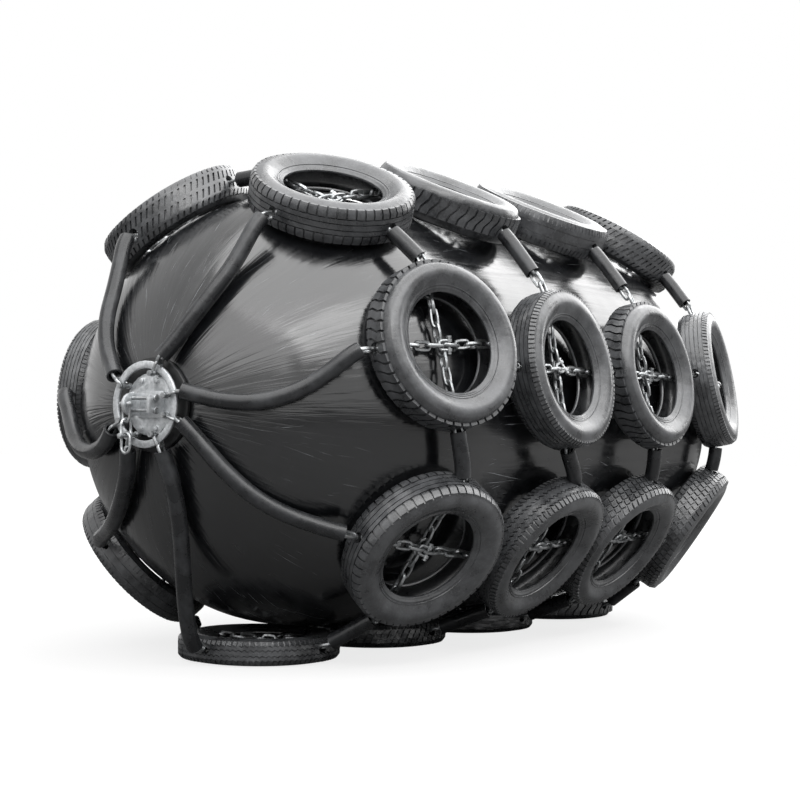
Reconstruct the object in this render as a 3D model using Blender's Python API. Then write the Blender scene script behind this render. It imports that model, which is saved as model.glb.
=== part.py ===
"""Pneumatic rubber fender with a chain and tyre net.

A closed rubber bag with domed ends lies on the ground. Four hoops of chain go
round it and seven runs of chain go along it. Each crossing sits in the hole of
an old truck tyre, and each chain passes through holes cut in the treads.
Rubber hose covers the chain between the tyres and over both domes, where the
runs meet a net ring at each end. A clevis with a shackle hangs on the front.

X runs along the fender, the front end at -X, and Z is up.
"""
import math

import bmesh
import bpy
from mathutils import Matrix, Vector
from mathutils.bvhtree import BVHTree

# Bag
BODY_DIAMETER = 2.0
BARREL_LENGTH = 1.90
# Each dome, from the barrel to where its curve would reach the axis
DOME_LENGTH = 1.01
DOME_EXPONENT = 2.1
END_SEAT_DIAMETER = 0.41
BODY_SIDES = 40
DOME_STEPS = 7

# Tyres
TYRE_DIAMETER = 0.725
TYRE_WIDTH = 0.185
NARROW_TYRE_WIDTH = 0.150
PRESSED_TYRE_WIDTH = 0.120
TREAD_WIDTH = 0.145
BEAD_DIAMETER = 0.455
BEAD_SPREAD = 0.130
TYRE_WALL = 0.022
TREAD_HOLE = 0.066
HOLE_RIM = 0.004
TYRE_SIDES = 16
# Where the sidewall is widest, from the bead to the tread
CREST_SHARE = 0.5

# Where the tyres lie: rings along the body, columns round it from the bottom one
INNER_RING_GAP = 0.091
END_RING_GAP = 0.152
END_RING_TILT = math.radians(16.0)
BOTTOM_ANGLE = -90.0
BOTTOM_COLUMN = 0
SHORTEST_HOOP_SLEEVE = 0.008
# How the way round that is left over is shared out, after each column in turn
SPARE_SHARES = (0.2360, 0.0144, 0.2229, 0.2099, 0.2620, 0.0535, 0.0013)
# Tyres that have slipped along the body, by ring and column
SLIP = {
    (0, 0): 0.030, (0, 1): 0.045, (0, 2): -0.015, (0, 3): -0.055, (0, 4): -0.055,
    (1, 1): 0.085, (1, 2): -0.035, (1, 3): -0.045,
    (2, 1): 0.025, (2, 3): -0.012,
}
# Tyres that have swung round the body, as shares of the gap that they swing into
SWING = {(0, 2): 0.261, (1, 2): -0.299, (2, 2): -0.239}
NARROW_TYRES = {(0, 5), (0, 6)}

# Net
CHAIN_WIRE = 0.016
CHAIN_PITCH = 0.087
LINK_WIDTH = 0.054
LINKS_ACROSS_TYRE = 5
SLEEVE_DIAMETER = 0.070
CHAIN_CORNERS = 4
SLEEVE_CORNERS = 2 * CHAIN_CORNERS
HOOP_SLEEVE_MARGIN = 0.035
ARM_SLEEVE_MARGIN = 0.055
ARM_STANDOFF = 0.012
ARM_SAG = 0.085
ARM_STEPS = 8
RING_LEAD = 0.034

# End fittings
FLANGE_DIAMETER = 0.400
FLANGE_THICKNESS = 0.020
COVER_DIAMETER = 0.262
COVER_THICKNESS = 0.016
COVER_BOLT_CIRCLE = 0.216
COVER_BOLT_COUNT = 8
BOLT_HEAD_WIDTH = 0.026
BOLT_HEAD_HEIGHT = 0.011
NET_RING_DIAMETER = 0.364
NET_RING_BAND = 0.031
NET_RING_THICKNESS = 0.014
NET_RING_STANDOFF = 0.018
ROUND_SIDES = 24
NET_RING_SIDES = 36

# Towing clevis on the front cover
LEFT_CHEEK_Y = 0.052
RIGHT_CHEEK_Y = -0.078
CHEEK_THICKNESS = 0.014
LEFT_CHEEK_REACH = 0.105
LEFT_CHEEK_HEIGHT = 0.094
RIGHT_CHEEK_REACH = 0.090
RIGHT_CHEEK_HEIGHT = 0.074
CLEVIS_FOOT_THICKNESS = 0.010
CLEVIS_FOOT_HEIGHT = 0.110
CROSS_BOLT_DIAMETER = 0.016
CROSS_BOLT_HEAD_DIAMETER = 0.030
CROSS_BOLT_HEAD_LENGTH = 0.009
UPPER_BOLT_Z = 0.026
LOWER_BOLT_Z = -0.026
CROSS_BOLT_REACH = 0.052

# Shackles and link that hang from the left cheek
TOW_HOLE_REACH = 0.082
TOW_PIN_DIAMETER = 0.014
TOW_SHACKLE_WIRE = 0.012
TOW_SHACKLE_SPREAD = 0.040
TOW_SHACKLE_DROP = 0.066
JOINING_SHACKLE_WIRE = 0.012
JOINING_SHACKLE_SPREAD = 0.056
JOINING_SHACKLE_DROP = 0.066
JOINING_PIN_DIAMETER = 0.014
EYE_DIAMETER = 0.026
EYE_LENGTH = 0.013
PIN_HEAD_DIAMETER = 0.022
PIN_HEAD_LENGTH = 0.006
END_LINK_WIRE = 0.013
END_LINK_WIDTH = 0.062
END_LINK_LENGTH = 0.098
WIRE_SIDES = 8
BEND_STEPS = 8
PIN_SIDES = 12
PIN_HOLE_SIDES = 16
BOLT_HEAD_SIDES = 6

# Air valve on the rear cover
VALVE_DIAMETER = 0.046
VALVE_HEIGHT = 0.038
VALVE_CAP_DIAMETER = 0.032
VALVE_CAP_HEIGHT = 0.020

# Gaps
SEAT_GAP = 0.0003
RUNNING_GAP = 0.0004
LIFT_STEP = 0.0002
LIFT_TRIES = 100
TREAD_CLEARANCE = 0.004

FRONT = -1.0
REAR = 1.0
INNER_RING_OFFSET = (TYRE_DIAMETER + INNER_RING_GAP) / 2
END_RING_OFFSET = INNER_RING_OFFSET + TYRE_DIAMETER + END_RING_GAP
RING_OFFSETS = (-END_RING_OFFSET, -INNER_RING_OFFSET, INNER_RING_OFFSET, END_RING_OFFSET)
RING_TILTS = (-END_RING_TILT, 0.0, 0.0, END_RING_TILT)
BODY_RADIUS = BODY_DIAMETER / 2
BARREL_HALF = BARREL_LENGTH / 2
TYRE_RADIUS = TYRE_DIAMETER / 2
FLOOR_DEPTH = BODY_RADIUS + SEAT_GAP + PRESSED_TYRE_WIDTH


def clear_scene():
    """Remove whatever the opened file holds."""
    for thing in list(bpy.data.objects):
        bpy.data.objects.remove(thing, do_unlink=True)


def make_material(name, colour, roughness, metallic):
    """A Principled material with one colour."""
    material = bpy.data.materials.new(name)
    material.use_nodes = True
    shader = material.node_tree.nodes["Principled BSDF"]
    shader.inputs["Base Color"].default_value = (*colour, 1.0)
    shader.inputs["Roughness"].default_value = roughness
    shader.inputs["Metallic"].default_value = metallic
    material.diffuse_color = (*colour, 1.0)
    return material


def add_object(name, mesh, material, parent, matrix=None):
    """Link a mesh as a named object under its parent."""
    if material.name not in mesh.materials:
        mesh.materials.append(material)
    thing = bpy.data.objects.new(name, mesh)
    bpy.context.scene.collection.objects.link(thing)
    thing.parent = parent
    if matrix is not None:
        thing.matrix_local = matrix
    return thing


def finish_mesh(name, shape, smooth_angle=None):
    """Turn a bmesh into a mesh with outward faces."""
    bmesh.ops.recalc_face_normals(shape, faces=shape.faces)
    mesh = bpy.data.meshes.new(name)
    shape.to_mesh(mesh)
    shape.free()
    if smooth_angle is not None:
        mesh.shade_smooth()
        mesh.set_sharp_from_angle(angle=math.radians(smooth_angle))
    return mesh


def end_seat_x():
    """Distance from the middle to the flat seat of the end flange."""
    share = (END_SEAT_DIAMETER / BODY_DIAMETER) ** DOME_EXPONENT
    return BARREL_HALF + DOME_LENGTH * (1.0 - share) ** (1.0 / DOME_EXPONENT)


def bag_profile():
    """Points (x, radius) of the bag from its middle to the end seat."""
    points = [(0.0, BODY_RADIUS)]
    seat = END_SEAT_DIAMETER / BODY_DIAMETER
    last = math.asin(seat ** (DOME_EXPONENT / 2.0))
    for step in range(DOME_STEPS + 1):
        turn = math.pi / 2 + (last - math.pi / 2) * step / DOME_STEPS
        power = 2.0 / DOME_EXPONENT
        x = BARREL_HALF + DOME_LENGTH * max(0.0, math.cos(turn)) ** power
        points.append((x, BODY_RADIUS * math.sin(turn) ** power))
    return points


def lathe(name, profile, sides, smooth_angle=None, offset=0.0):
    """Turn a profile of (x, radius) points round X, with a flat face at each end."""
    shape = bmesh.new()
    rings = []
    for x, radius in profile:
        ring = []
        for side in range(sides):
            turn = 2.0 * math.pi * side / sides + offset
            ring.append(shape.verts.new((x, radius * math.cos(turn), radius * math.sin(turn))))
        rings.append(ring)
    for low, high in zip(rings, rings[1:]):
        for side in range(sides):
            after = (side + 1) % sides
            shape.faces.new((low[side], low[after], high[after], high[side]))
    shape.faces.new(rings[0])
    shape.faces.new(rings[-1])
    return finish_mesh(name, shape, smooth_angle)


def build_bag(material, parent):
    """The rubber bag, one closed body from flange seat to flange seat."""
    half = bag_profile()
    profile = [(-x, radius) for x, radius in reversed(half[1:])] + half[1:]
    mesh = lathe("rubber_body", profile, BODY_SIDES, 50.0, -math.pi / 2)
    return add_object("rubber_body", mesh, material, parent)


def tyre_section(half_width):
    """Cut through a tyre as (radius, height) points, open towards the hub."""
    bead = BEAD_DIAMETER / 2
    crest = bead + CREST_SHARE * (TYRE_RADIUS - bead)
    bead_height = min(BEAD_SPREAD / 2, half_width)
    shoulder = min(TREAD_WIDTH / 2, half_width)
    inside_radius = TYRE_RADIUS - TYRE_WALL
    inside_height = shoulder - TYRE_WALL
    return [
        (bead, bead_height), (crest, half_width), (TYRE_RADIUS, shoulder),
        (TYRE_RADIUS, -shoulder), (crest, -half_width), (bead, -bead_height),
        (inside_radius, -inside_height), (inside_radius, inside_height),
    ]


def hole_half_height(width):
    """Half the height of a tread hole, inside the tyre's own inner height."""
    inside = min(TREAD_WIDTH, width) / 2 - TYRE_WALL
    return min(TREAD_HOLE / 2, inside - HOLE_RIM)


def tyre_mesh(name, width):
    """A tyre round Z with a hole in its tread at each quarter turn."""
    section = tyre_section(width / 2)
    hole_half = hole_half_height(width)
    tread_span = 2
    inside_span = 6
    shape = bmesh.new()
    rings = []
    for side in range(TYRE_SIDES):
        turn = 2.0 * math.pi * (side - 0.5) / TYRE_SIDES
        rings.append([shape.verts.new((radius * math.cos(turn), radius * math.sin(turn), height))
                      for radius, height in section])
    quarter = TYRE_SIDES // 4
    for side in range(TYRE_SIDES):
        here = rings[side]
        there = rings[(side + 1) % TYRE_SIDES]
        holes = []
        for span in range(len(section)):
            after = (span + 1) % len(section)
            corners = (here[span], there[span], there[after], here[after])
            if side % quarter == 0 and span in (tread_span, inside_span):
                holes.append(pierced_face(shape, corners, hole_half))
            else:
                shape.faces.new(corners)
        if holes:
            outer, inner = holes
            inner = [inner[3], inner[2], inner[1], inner[0]]
            for corner in range(4):
                after = (corner + 1) % 4
                shape.faces.new((outer[corner], outer[after], inner[after], inner[corner]))
    return finish_mesh(name, shape, 40.0)


def pierced_face(shape, corners, hole_half):
    """Frame a hole in a four-sided face and give the hole's corners."""
    middle = sum((corner.co for corner in corners), Vector()) / 4
    along = (corners[1].co - corners[0].co).normalized()
    across = (corners[3].co - corners[0].co).normalized()
    hole = [shape.verts.new(middle + along * TREAD_HOLE / 2 * a + across * hole_half * b)
            for a, b in ((-1, -1), (1, -1), (1, 1), (-1, 1))]
    for corner in range(4):
        after = (corner + 1) % 4
        shape.faces.new((corners[corner], corners[after], hole[after], hole[corner]))
    return hole


def tyre_turn():
    """Turn round the body, in degrees, that a tyre takes up with its chains' leads."""
    return 2 * math.degrees(math.atan2(TYRE_RADIUS + CHAIN_WIRE, BODY_RADIUS))


def column_turns():
    """Turn from each column to the next, in degrees, with room for a hose in each."""
    hose_turn = math.degrees((2 * HOOP_SLEEVE_MARGIN + SHORTEST_HOOP_SLEEVE) / BODY_RADIUS)
    least = tyre_turn() + hose_turn
    spare = 360.0 - least * len(SPARE_SHARES)
    return [least + share * spare for share in SPARE_SHARES]


def column_angle(ring, column):
    """Angle of a tyre round the body in radians, 0 at -Y and a right angle at the top."""
    turns = column_turns()
    swing = SWING.get((ring, column), 0.0)
    beside = column if swing > 0.0 else column - 1
    swung = swing * (turns[beside] - tyre_turn())
    return math.radians(BOTTOM_ANGLE + sum(turns[:column]) + swung)


class Seat:
    """Where one tyre lies: its middle and the way its axes point."""

    def __init__(self, ring, column):
        angle = column_angle(ring, column)
        tilt = 0.0 if column == BOTTOM_COLUMN else RING_TILTS[ring]
        self.angle = angle
        self.ring = ring
        self.column = column
        self.width = TYRE_WIDTH
        if (ring, column) in NARROW_TYRES:
            self.width = NARROW_TYRE_WIDTH
        if column == BOTTOM_COLUMN:
            self.width = PRESSED_TYRE_WIDTH
        radial = Vector((0.0, -math.cos(angle), math.sin(angle)))
        self.around = Vector((0.0, math.sin(angle), math.cos(angle)))
        self.out = math.cos(tilt) * radial + math.sin(tilt) * Vector((1.0, 0.0, 0.0))
        self.along = math.cos(tilt) * Vector((1.0, 0.0, 0.0)) - math.sin(tilt) * radial
        x = RING_OFFSETS[ring] + SLIP.get((ring, column), 0.0)
        self.middle = Vector((x, 0.0, 0.0)) + radial * (BODY_RADIUS + TYRE_WIDTH)

    def matrix(self):
        """Matrix that lays a tyre, made round Z, in this seat."""
        turn = Matrix((self.along, self.around, self.out)).transposed().to_4x4()
        return Matrix.Translation(self.middle) @ turn

    def point(self, along=0.0, around=0.0, out=0.0):
        """A point given by its distances from the tyre's middle."""
        return self.middle + self.along * along + self.around * around + self.out * out

    def settle(self, mesh, bag):
        """Lower the tyre until it all but touches the bag."""
        if self.column == BOTTOM_COLUMN:
            self.middle.z = -FLOOR_DEPTH + self.width / 2
            return
        bag_mesh, bag_tree = bag
        faces = [tuple(face.vertices) for face in mesh.polygons]
        place = self.matrix()
        points = [place @ vertex.co for vertex in mesh.vertices]
        drop = TYRE_DIAMETER
        for point in points:
            hit = bag_tree.ray_cast(point, -self.out)
            if hit[0] is not None:
                drop = min(drop, hit[3])
        tyre_tree = BVHTree.FromPolygons(points, faces)
        for vertex in bag_mesh.vertices:
            hit = tyre_tree.ray_cast(vertex.co, self.out)
            if hit[0] is not None:
                drop = min(drop, hit[3])
        self.middle -= self.out * (drop - SEAT_GAP)
        for _ in range(LIFT_TRIES):
            place = self.matrix()
            points = [place @ vertex.co for vertex in mesh.vertices]
            if not BVHTree.FromPolygons(points, faces).overlap(bag_tree):
                break
            self.middle += self.out * LIFT_STEP


def build_tyres(material, parent, bag):
    """Twenty-eight tyres, each settled on the bag. Gives their seats by ring."""
    meshes = {width: tyre_mesh("tyre", width)
              for width in (TYRE_WIDTH, NARROW_TYRE_WIDTH, PRESSED_TYRE_WIDTH)}
    bag_tree = BVHTree.FromPolygons([vertex.co.copy() for vertex in bag.vertices],
                                    [tuple(face.vertices) for face in bag.polygons])
    seats = []
    for ring in range(len(RING_OFFSETS)):
        seats.append([])
        for column in range(len(SPARE_SHARES)):
            seat = Seat(ring, column)
            mesh = meshes[seat.width]
            seat.settle(mesh, (bag, bag_tree))
            name = f"tyre_ring{ring + 1}_column{column + 1}"
            add_object(name, mesh, material, parent, seat.matrix())
            seats[ring].append(seat)
    return seats


class Route:
    """A chain's path: points with the direction that faces away from the bag."""

    def __init__(self):
        self.points = []
        self.outs = []
        self.marks = [0.0]

    def add(self, point, out):
        """Lengthen the path to a point and give its distance from the start."""
        if self.points:
            self.marks.append(self.marks[-1] + (point - self.points[-1]).length)
        self.points.append(point)
        self.outs.append(out)
        return self.marks[-1]

    def at(self, mark, closed=False):
        """Point and outward direction at a distance along the path."""
        length = self.marks[-1]
        if closed:
            mark %= length
        mark = min(max(mark, 0.0), length)
        for index in range(len(self.marks) - 1):
            if mark <= self.marks[index + 1]:
                break
        share = (mark - self.marks[index]) / (self.marks[index + 1] - self.marks[index])
        point = self.points[index].lerp(self.points[index + 1], share)
        return point, self.outs[index].lerp(self.outs[index + 1], share).normalized()

    def frame(self, mark, closed=False):
        """Point, side and outward directions at a distance along the path."""
        reach = CHAIN_WIRE
        point, out = self.at(mark, closed)
        before = self.at(mark - reach, closed)[0]
        after = self.at(mark + reach, closed)[0]
        ahead = (after - before).normalized()
        side = ahead.cross(out).normalized()
        return point, side, side.cross(ahead)


def chain_station(mark, wide=0.0, high=0.0):
    """A square cut through the chain, widened for the middle of a link."""
    half = CHAIN_WIRE / 2
    return mark, "chain", max(half, wide / 2), max(half, high / 2)


def link_stations(start, flat):
    """One link: narrow where it meets its neighbours and broad in its middle."""
    middle = start + CHAIN_PITCH / 2
    if flat:
        return [chain_station(start), chain_station(middle, wide=LINK_WIDTH)]
    return [chain_station(start), chain_station(middle, high=LINK_WIDTH)]


def tyre_links(middle):
    """The links that cross a tyre's hole, the middle one flat."""
    start = middle - LINKS_ACROSS_TYRE * CHAIN_PITCH / 2
    stations = []
    for link in range(LINKS_ACROSS_TYRE):
        flat = (link - LINKS_ACROSS_TYRE // 2) % 2 == 0
        stations += link_stations(start + link * CHAIN_PITCH, flat)
    stations.append(chain_station(start + LINKS_ACROSS_TYRE * CHAIN_PITCH))
    return stations


def sleeve_stations(start, end, steps):
    """A length of hose over the chain."""
    radius = SLEEVE_DIAMETER / 2
    stations = [chain_station(start)]
    for step in range(steps + 1):
        mark = start + (end - start) * step / steps
        stations.append((mark, "sleeve", radius, radius))
    stations.append(chain_station(end))
    return stations


def loft_route(name, route, stations, closed=False):
    """Skin one closed body over the stations of a route."""
    shape = bmesh.new()
    loops = []
    for mark, kind, wide, high in stations:
        point, side, out = route.frame(mark, closed)
        if kind == "chain":
            cuts = ((wide, high), (-wide, high), (-wide, -high), (wide, -high))
        else:
            turns = [2 * math.pi * (step + 0.5) / SLEEVE_CORNERS for step in range(SLEEVE_CORNERS)]
            cuts = [(wide * math.cos(turn), high * math.sin(turn)) for turn in turns]
        loops.append([shape.verts.new(point + side * a + out * b) for a, b in cuts])
    pairs = list(zip(loops, loops[1:]))
    if closed:
        pairs.append((loops[-1], loops[0]))
    for low, high in pairs:
        join_loops(shape, low, high)
    if not closed:
        shape.faces.new(loops[0])
        shape.faces.new(loops[-1])
    return finish_mesh(name, shape, 50.0)


def join_loops(shape, low, high):
    """Skin between two cuts, alike or a chain's and a sleeve's."""
    if len(low) == len(high):
        for corner in range(len(low)):
            after = (corner + 1) % len(low)
            shape.faces.new((low[corner], low[after], high[after], high[corner]))
        return
    square, round_cut = (low, high) if len(low) < len(high) else (high, low)
    for corner in range(CHAIN_CORNERS):
        after = (corner + 1) % CHAIN_CORNERS
        first = round_cut[2 * corner]
        second = round_cut[2 * corner + 1]
        third = round_cut[(2 * corner + 2) % SLEEVE_CORNERS]
        shape.faces.new((square[corner], second, first))
        shape.faces.new((square[corner], square[after], third, second))


def chain_height(seat):
    """Height at which a chain lies on the low edge of a tyre's tread holes."""
    return SEAT_GAP + CHAIN_WIRE / 2 - hole_half_height(seat.width)


def build_hoops(material, parent, seats):
    """Four hoops of chain, each with a hose between every two tyres."""
    inside = TYRE_RADIUS + CHAIN_WIRE
    for number, ring in enumerate(seats):
        route = Route()
        middles = []
        exits = []
        entries = []
        for seat in ring:
            low = chain_height(seat)
            entries.append(route.add(seat.point(around=-inside, out=low), seat.out))
            middles.append(route.add(seat.point(out=low), seat.out))
            exits.append(route.add(seat.point(around=inside, out=low), seat.out))
        first = ring[0]
        length = route.add(first.point(around=-inside, out=chain_height(first)), first.out)
        stations = []
        for column, middle in enumerate(middles):
            stations += tyre_links(middle)
            entry = entries[column + 1] if column + 1 < len(middles) else length
            start = exits[column] + HOOP_SLEEVE_MARGIN
            end = entry - HOOP_SLEEVE_MARGIN
            stations.append(chain_station(exits[column]))
            stations += sleeve_stations(start, end, 1)
            stations.append(chain_station(entry))
        mesh = loft_route(f"hoop_chain_{number + 1}", route, stations, closed=True)
        add_object(f"hoop_chain_{number + 1}", mesh, material, parent)


def push_off_dome(x, radius, clearance):
    """Move a point outwards until it clears the dome."""
    reach = x - BARREL_HALF
    distance = math.hypot(reach, radius)
    slope_x = reach / distance / DOME_LENGTH
    slope_r = radius / distance / BODY_RADIUS
    surface = (slope_x ** DOME_EXPONENT + slope_r ** DOME_EXPONENT) ** (-1.0 / DOME_EXPONENT)
    scale = max(1.0, (surface + clearance) / distance)
    return BARREL_HALF + reach * scale, radius * scale


def arm_points(seat, end):
    """Points of an arm from a tyre's tread over the dome to the net ring."""
    start = seat.point(along=end * (TYRE_RADIUS + CHAIN_WIRE), out=chain_height(seat))
    lead = start + seat.along * end * CHAIN_PITCH
    foot = (abs(lead.x), math.hypot(lead.y, lead.z))
    rim = (net_ring_x(), NET_RING_DIAMETER / 2 + SEAT_GAP + RING_LEAD)
    clearance = SLEEVE_DIAMETER / 2 + ARM_STANDOFF
    points = []
    for step in range(ARM_STEPS + 1):
        share = step / ARM_STEPS
        x = foot[0] + (rim[0] - foot[0]) * share
        radius = foot[1] + (rim[1] - foot[1]) * share
        if 0 < step < ARM_STEPS:
            x, radius = push_off_dome(x, radius, clearance)
        sag = ARM_SAG * math.cos(seat.angle) * math.sin(math.pi * share)
        turn = seat.angle - sag / radius
        points.append(Vector((end * x, -radius * math.cos(turn), radius * math.sin(turn))))
    radial = Vector((0.0, -math.cos(seat.angle), math.sin(seat.angle)))
    points.append(points[-1] - radial * RING_LEAD)
    return [start] + points


def dome_out(point):
    """Direction away from the bag at a point near a dome."""
    reach = max(0.0, abs(point.x) - BARREL_HALF) / DOME_LENGTH
    lean = math.copysign(reach, point.x)
    flat = Vector((0.0, point.y, point.z)) / BODY_RADIUS
    return (flat + Vector((lean, 0.0, 0.0))).normalized()


def build_runs(material, parent, seats):
    """Seven runs of chain from net ring to net ring, hosed over both domes."""
    inside = TYRE_RADIUS + TREAD_CLEARANCE
    for column in range(len(SPARE_SHARES)):
        line = [ring[column] for ring in seats]
        route = Route()
        stations = []
        front = list(reversed(arm_points(line[0], FRONT)))
        marks = [route.add(point, dome_out(point)) for point in front]
        stations.append(chain_station(marks[0]))
        stations += sleeve_stations(marks[0] + ARM_SLEEVE_MARGIN, marks[-2], ARM_STEPS)
        stations += link_stations(marks[-2], False)[1:]
        last_exit = None
        for seat in line:
            low = chain_height(seat)
            over = low + CHAIN_WIRE + SEAT_GAP
            if last_exit is None:
                entry = marks[-1]
            else:
                entry = route.add(seat.point(along=-inside, out=low), seat.out)
                middle = (last_exit + entry) / 2
                stations.append(chain_station(last_exit))
                if entry - last_exit > CHAIN_WIRE * 2:
                    stations.append(chain_station(middle, high=LINK_WIDTH))
            stations.append(chain_station(entry))
            route.add(seat.point(along=-CHAIN_PITCH / 2, out=over), seat.out)
            stations += tyre_links(route.add(seat.point(out=over), seat.out))
            route.add(seat.point(along=CHAIN_PITCH / 2, out=over), seat.out)
            last_exit = route.add(seat.point(along=inside, out=low), seat.out)
        stations.append(chain_station(last_exit))
        rear = arm_points(line[-1], REAR)[1:]
        marks = [route.add(point, dome_out(point)) for point in rear]
        stations += link_stations(last_exit, False)[1:]
        stations += sleeve_stations(marks[0], marks[-1] - ARM_SLEEVE_MARGIN, ARM_STEPS)
        stations.append(chain_station(marks[-1]))
        mesh = loft_route(f"lengthwise_chain_{column + 1}", route, stations)
        add_object(f"lengthwise_chain_{column + 1}", mesh, material, parent)


def cover_face_x():
    """Distance from the middle to the outer face of an end cover."""
    return end_seat_x() + FLANGE_THICKNESS + COVER_THICKNESS + 2 * SEAT_GAP


def net_ring_x():
    """Distance from the middle to the middle plane of a net ring."""
    return cover_face_x() + NET_RING_STANDOFF + NET_RING_THICKNESS / 2


def join_cutter(name, mesh, target, operation, material, parent):
    """Add or cut away a helper shape with an exact Boolean."""
    helper = add_object(name, mesh, material, parent)
    helper.hide_render = True
    helper.display_type = "WIRE"
    modifier = target.modifiers.new(name, "BOOLEAN")
    modifier.operation = operation
    modifier.solver = "EXACT"
    modifier.object = helper


def cylinder_into(shape, centre, axis, radius, length, sides):
    """Add a closed cylinder to a bmesh, its middle at a point."""
    turn = Vector(axis).to_track_quat("Z", "Y").to_matrix().to_4x4()
    bmesh.ops.create_cone(shape, cap_ends=True, segments=sides, radius1=radius,
                          radius2=radius, depth=length,
                          matrix=Matrix.Translation(Vector(centre)) @ turn)


def box_into(shape, low, high):
    """Add a closed box to a bmesh between two corners."""
    size = Vector(high) - Vector(low)
    middle = (Vector(high) + Vector(low)) / 2
    bmesh.ops.create_cube(shape, size=1.0,
                          matrix=Matrix.Translation(middle) @ Matrix.Diagonal((*size, 1.0)))


def build_end(name, end, materials, parent):
    """Base flange, bolted cover and net ring of one end."""
    steel = materials["plate"]
    seat = end_seat_x() + SEAT_GAP
    flange = lathe(f"{name}_flange", [(end * seat, FLANGE_DIAMETER / 2),
                                      (end * (seat + FLANGE_THICKNESS), FLANGE_DIAMETER / 2)],
                   ROUND_SIDES, 30.0)
    add_object(f"{name}_flange", flange, steel, parent)
    inner = seat + FLANGE_THICKNESS + SEAT_GAP
    outer = inner + COVER_THICKNESS
    cover_mesh = lathe(f"{name}_cover", [(end * inner, COVER_DIAMETER / 2),
                                         (end * outer, COVER_DIAMETER / 2)], ROUND_SIDES, 30.0)
    cover = add_object(f"{name}_cover", cover_mesh, steel, parent)
    heads = bmesh.new()
    sunk = COVER_THICKNESS / 2
    for bolt in range(COVER_BOLT_COUNT):
        turn = 2.0 * math.pi * (bolt + 0.5) / COVER_BOLT_COUNT
        centre = (end * (outer + (BOLT_HEAD_HEIGHT - sunk) / 2),
                  COVER_BOLT_CIRCLE / 2 * math.cos(turn), COVER_BOLT_CIRCLE / 2 * math.sin(turn))
        cylinder_into(heads, centre, (1, 0, 0), BOLT_HEAD_WIDTH / 2, BOLT_HEAD_HEIGHT + sunk,
                      BOLT_HEAD_SIDES)
    join_cutter(f"{name}_bolt_heads", finish_mesh("heads", heads), cover, "UNION", steel, parent)
    ring_x = net_ring_x()
    half = NET_RING_THICKNESS / 2
    radius = NET_RING_DIAMETER / 2
    ring_mesh = lathe(f"{name}_net_ring", [(end * (ring_x - half), radius),
                                           (end * (ring_x + half), radius)], NET_RING_SIDES, 30.0)
    ring = add_object(f"{name}_net_ring", ring_mesh, steel, parent)
    hole = lathe("hole", [(end * (ring_x - 2 * half), radius - NET_RING_BAND),
                          (end * (ring_x + 2 * half), radius - NET_RING_BAND)], NET_RING_SIDES)
    join_cutter(f"{name}_net_ring_hole", hole, ring, "DIFFERENCE", steel, parent)


def build_valve(materials, parent):
    """Air valve with its cap in the middle of the rear cover."""
    foot = cover_face_x() + SEAT_GAP
    body = foot + VALVE_HEIGHT
    cap = body + SEAT_GAP
    mesh = lathe("air_valve", [(foot, VALVE_DIAMETER / 2), (body, VALVE_DIAMETER / 2)],
                 PIN_SIDES, 35.0)
    add_object("air_valve", mesh, materials["plate"], parent)
    mesh = lathe("valve_cap", [(cap, VALVE_CAP_DIAMETER / 2),
                               (cap + VALVE_CAP_HEIGHT, VALVE_CAP_DIAMETER / 2)],
                 PIN_SIDES, 35.0)
    add_object("valve_cap", mesh, materials["brass"], parent)


def cheek_outline(reach, height, rounded):
    """Outline (distance out, z) of a cheek plate, with a round outer end."""
    half = height / 2
    if not rounded:
        return [(0.0, -half), (reach, -half), (reach, half), (0.0, half)]
    points = [(0.0, -half)]
    for step in range(BEND_STEPS + 1):
        turn = -math.pi / 2 + math.pi * step / BEND_STEPS
        points.append((reach - half + half * math.cos(turn), half * math.sin(turn)))
    points.append((0.0, half))
    return points


def plate_into(shape, outline, y):
    """Add a plate to a bmesh, its outline in X and Z and its middle at y."""
    foot = cover_face_x() + SEAT_GAP
    sides = []
    for offset in (-CHEEK_THICKNESS / 2, CHEEK_THICKNESS / 2):
        sides.append([shape.verts.new((-(foot + out), y + offset, z)) for out, z in outline])
    for corner in range(len(outline)):
        after = (corner + 1) % len(outline)
        shape.faces.new((sides[0][corner], sides[0][after], sides[1][after], sides[1][corner]))
    shape.faces.new(sides[0])
    shape.faces.new(sides[1])


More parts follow.
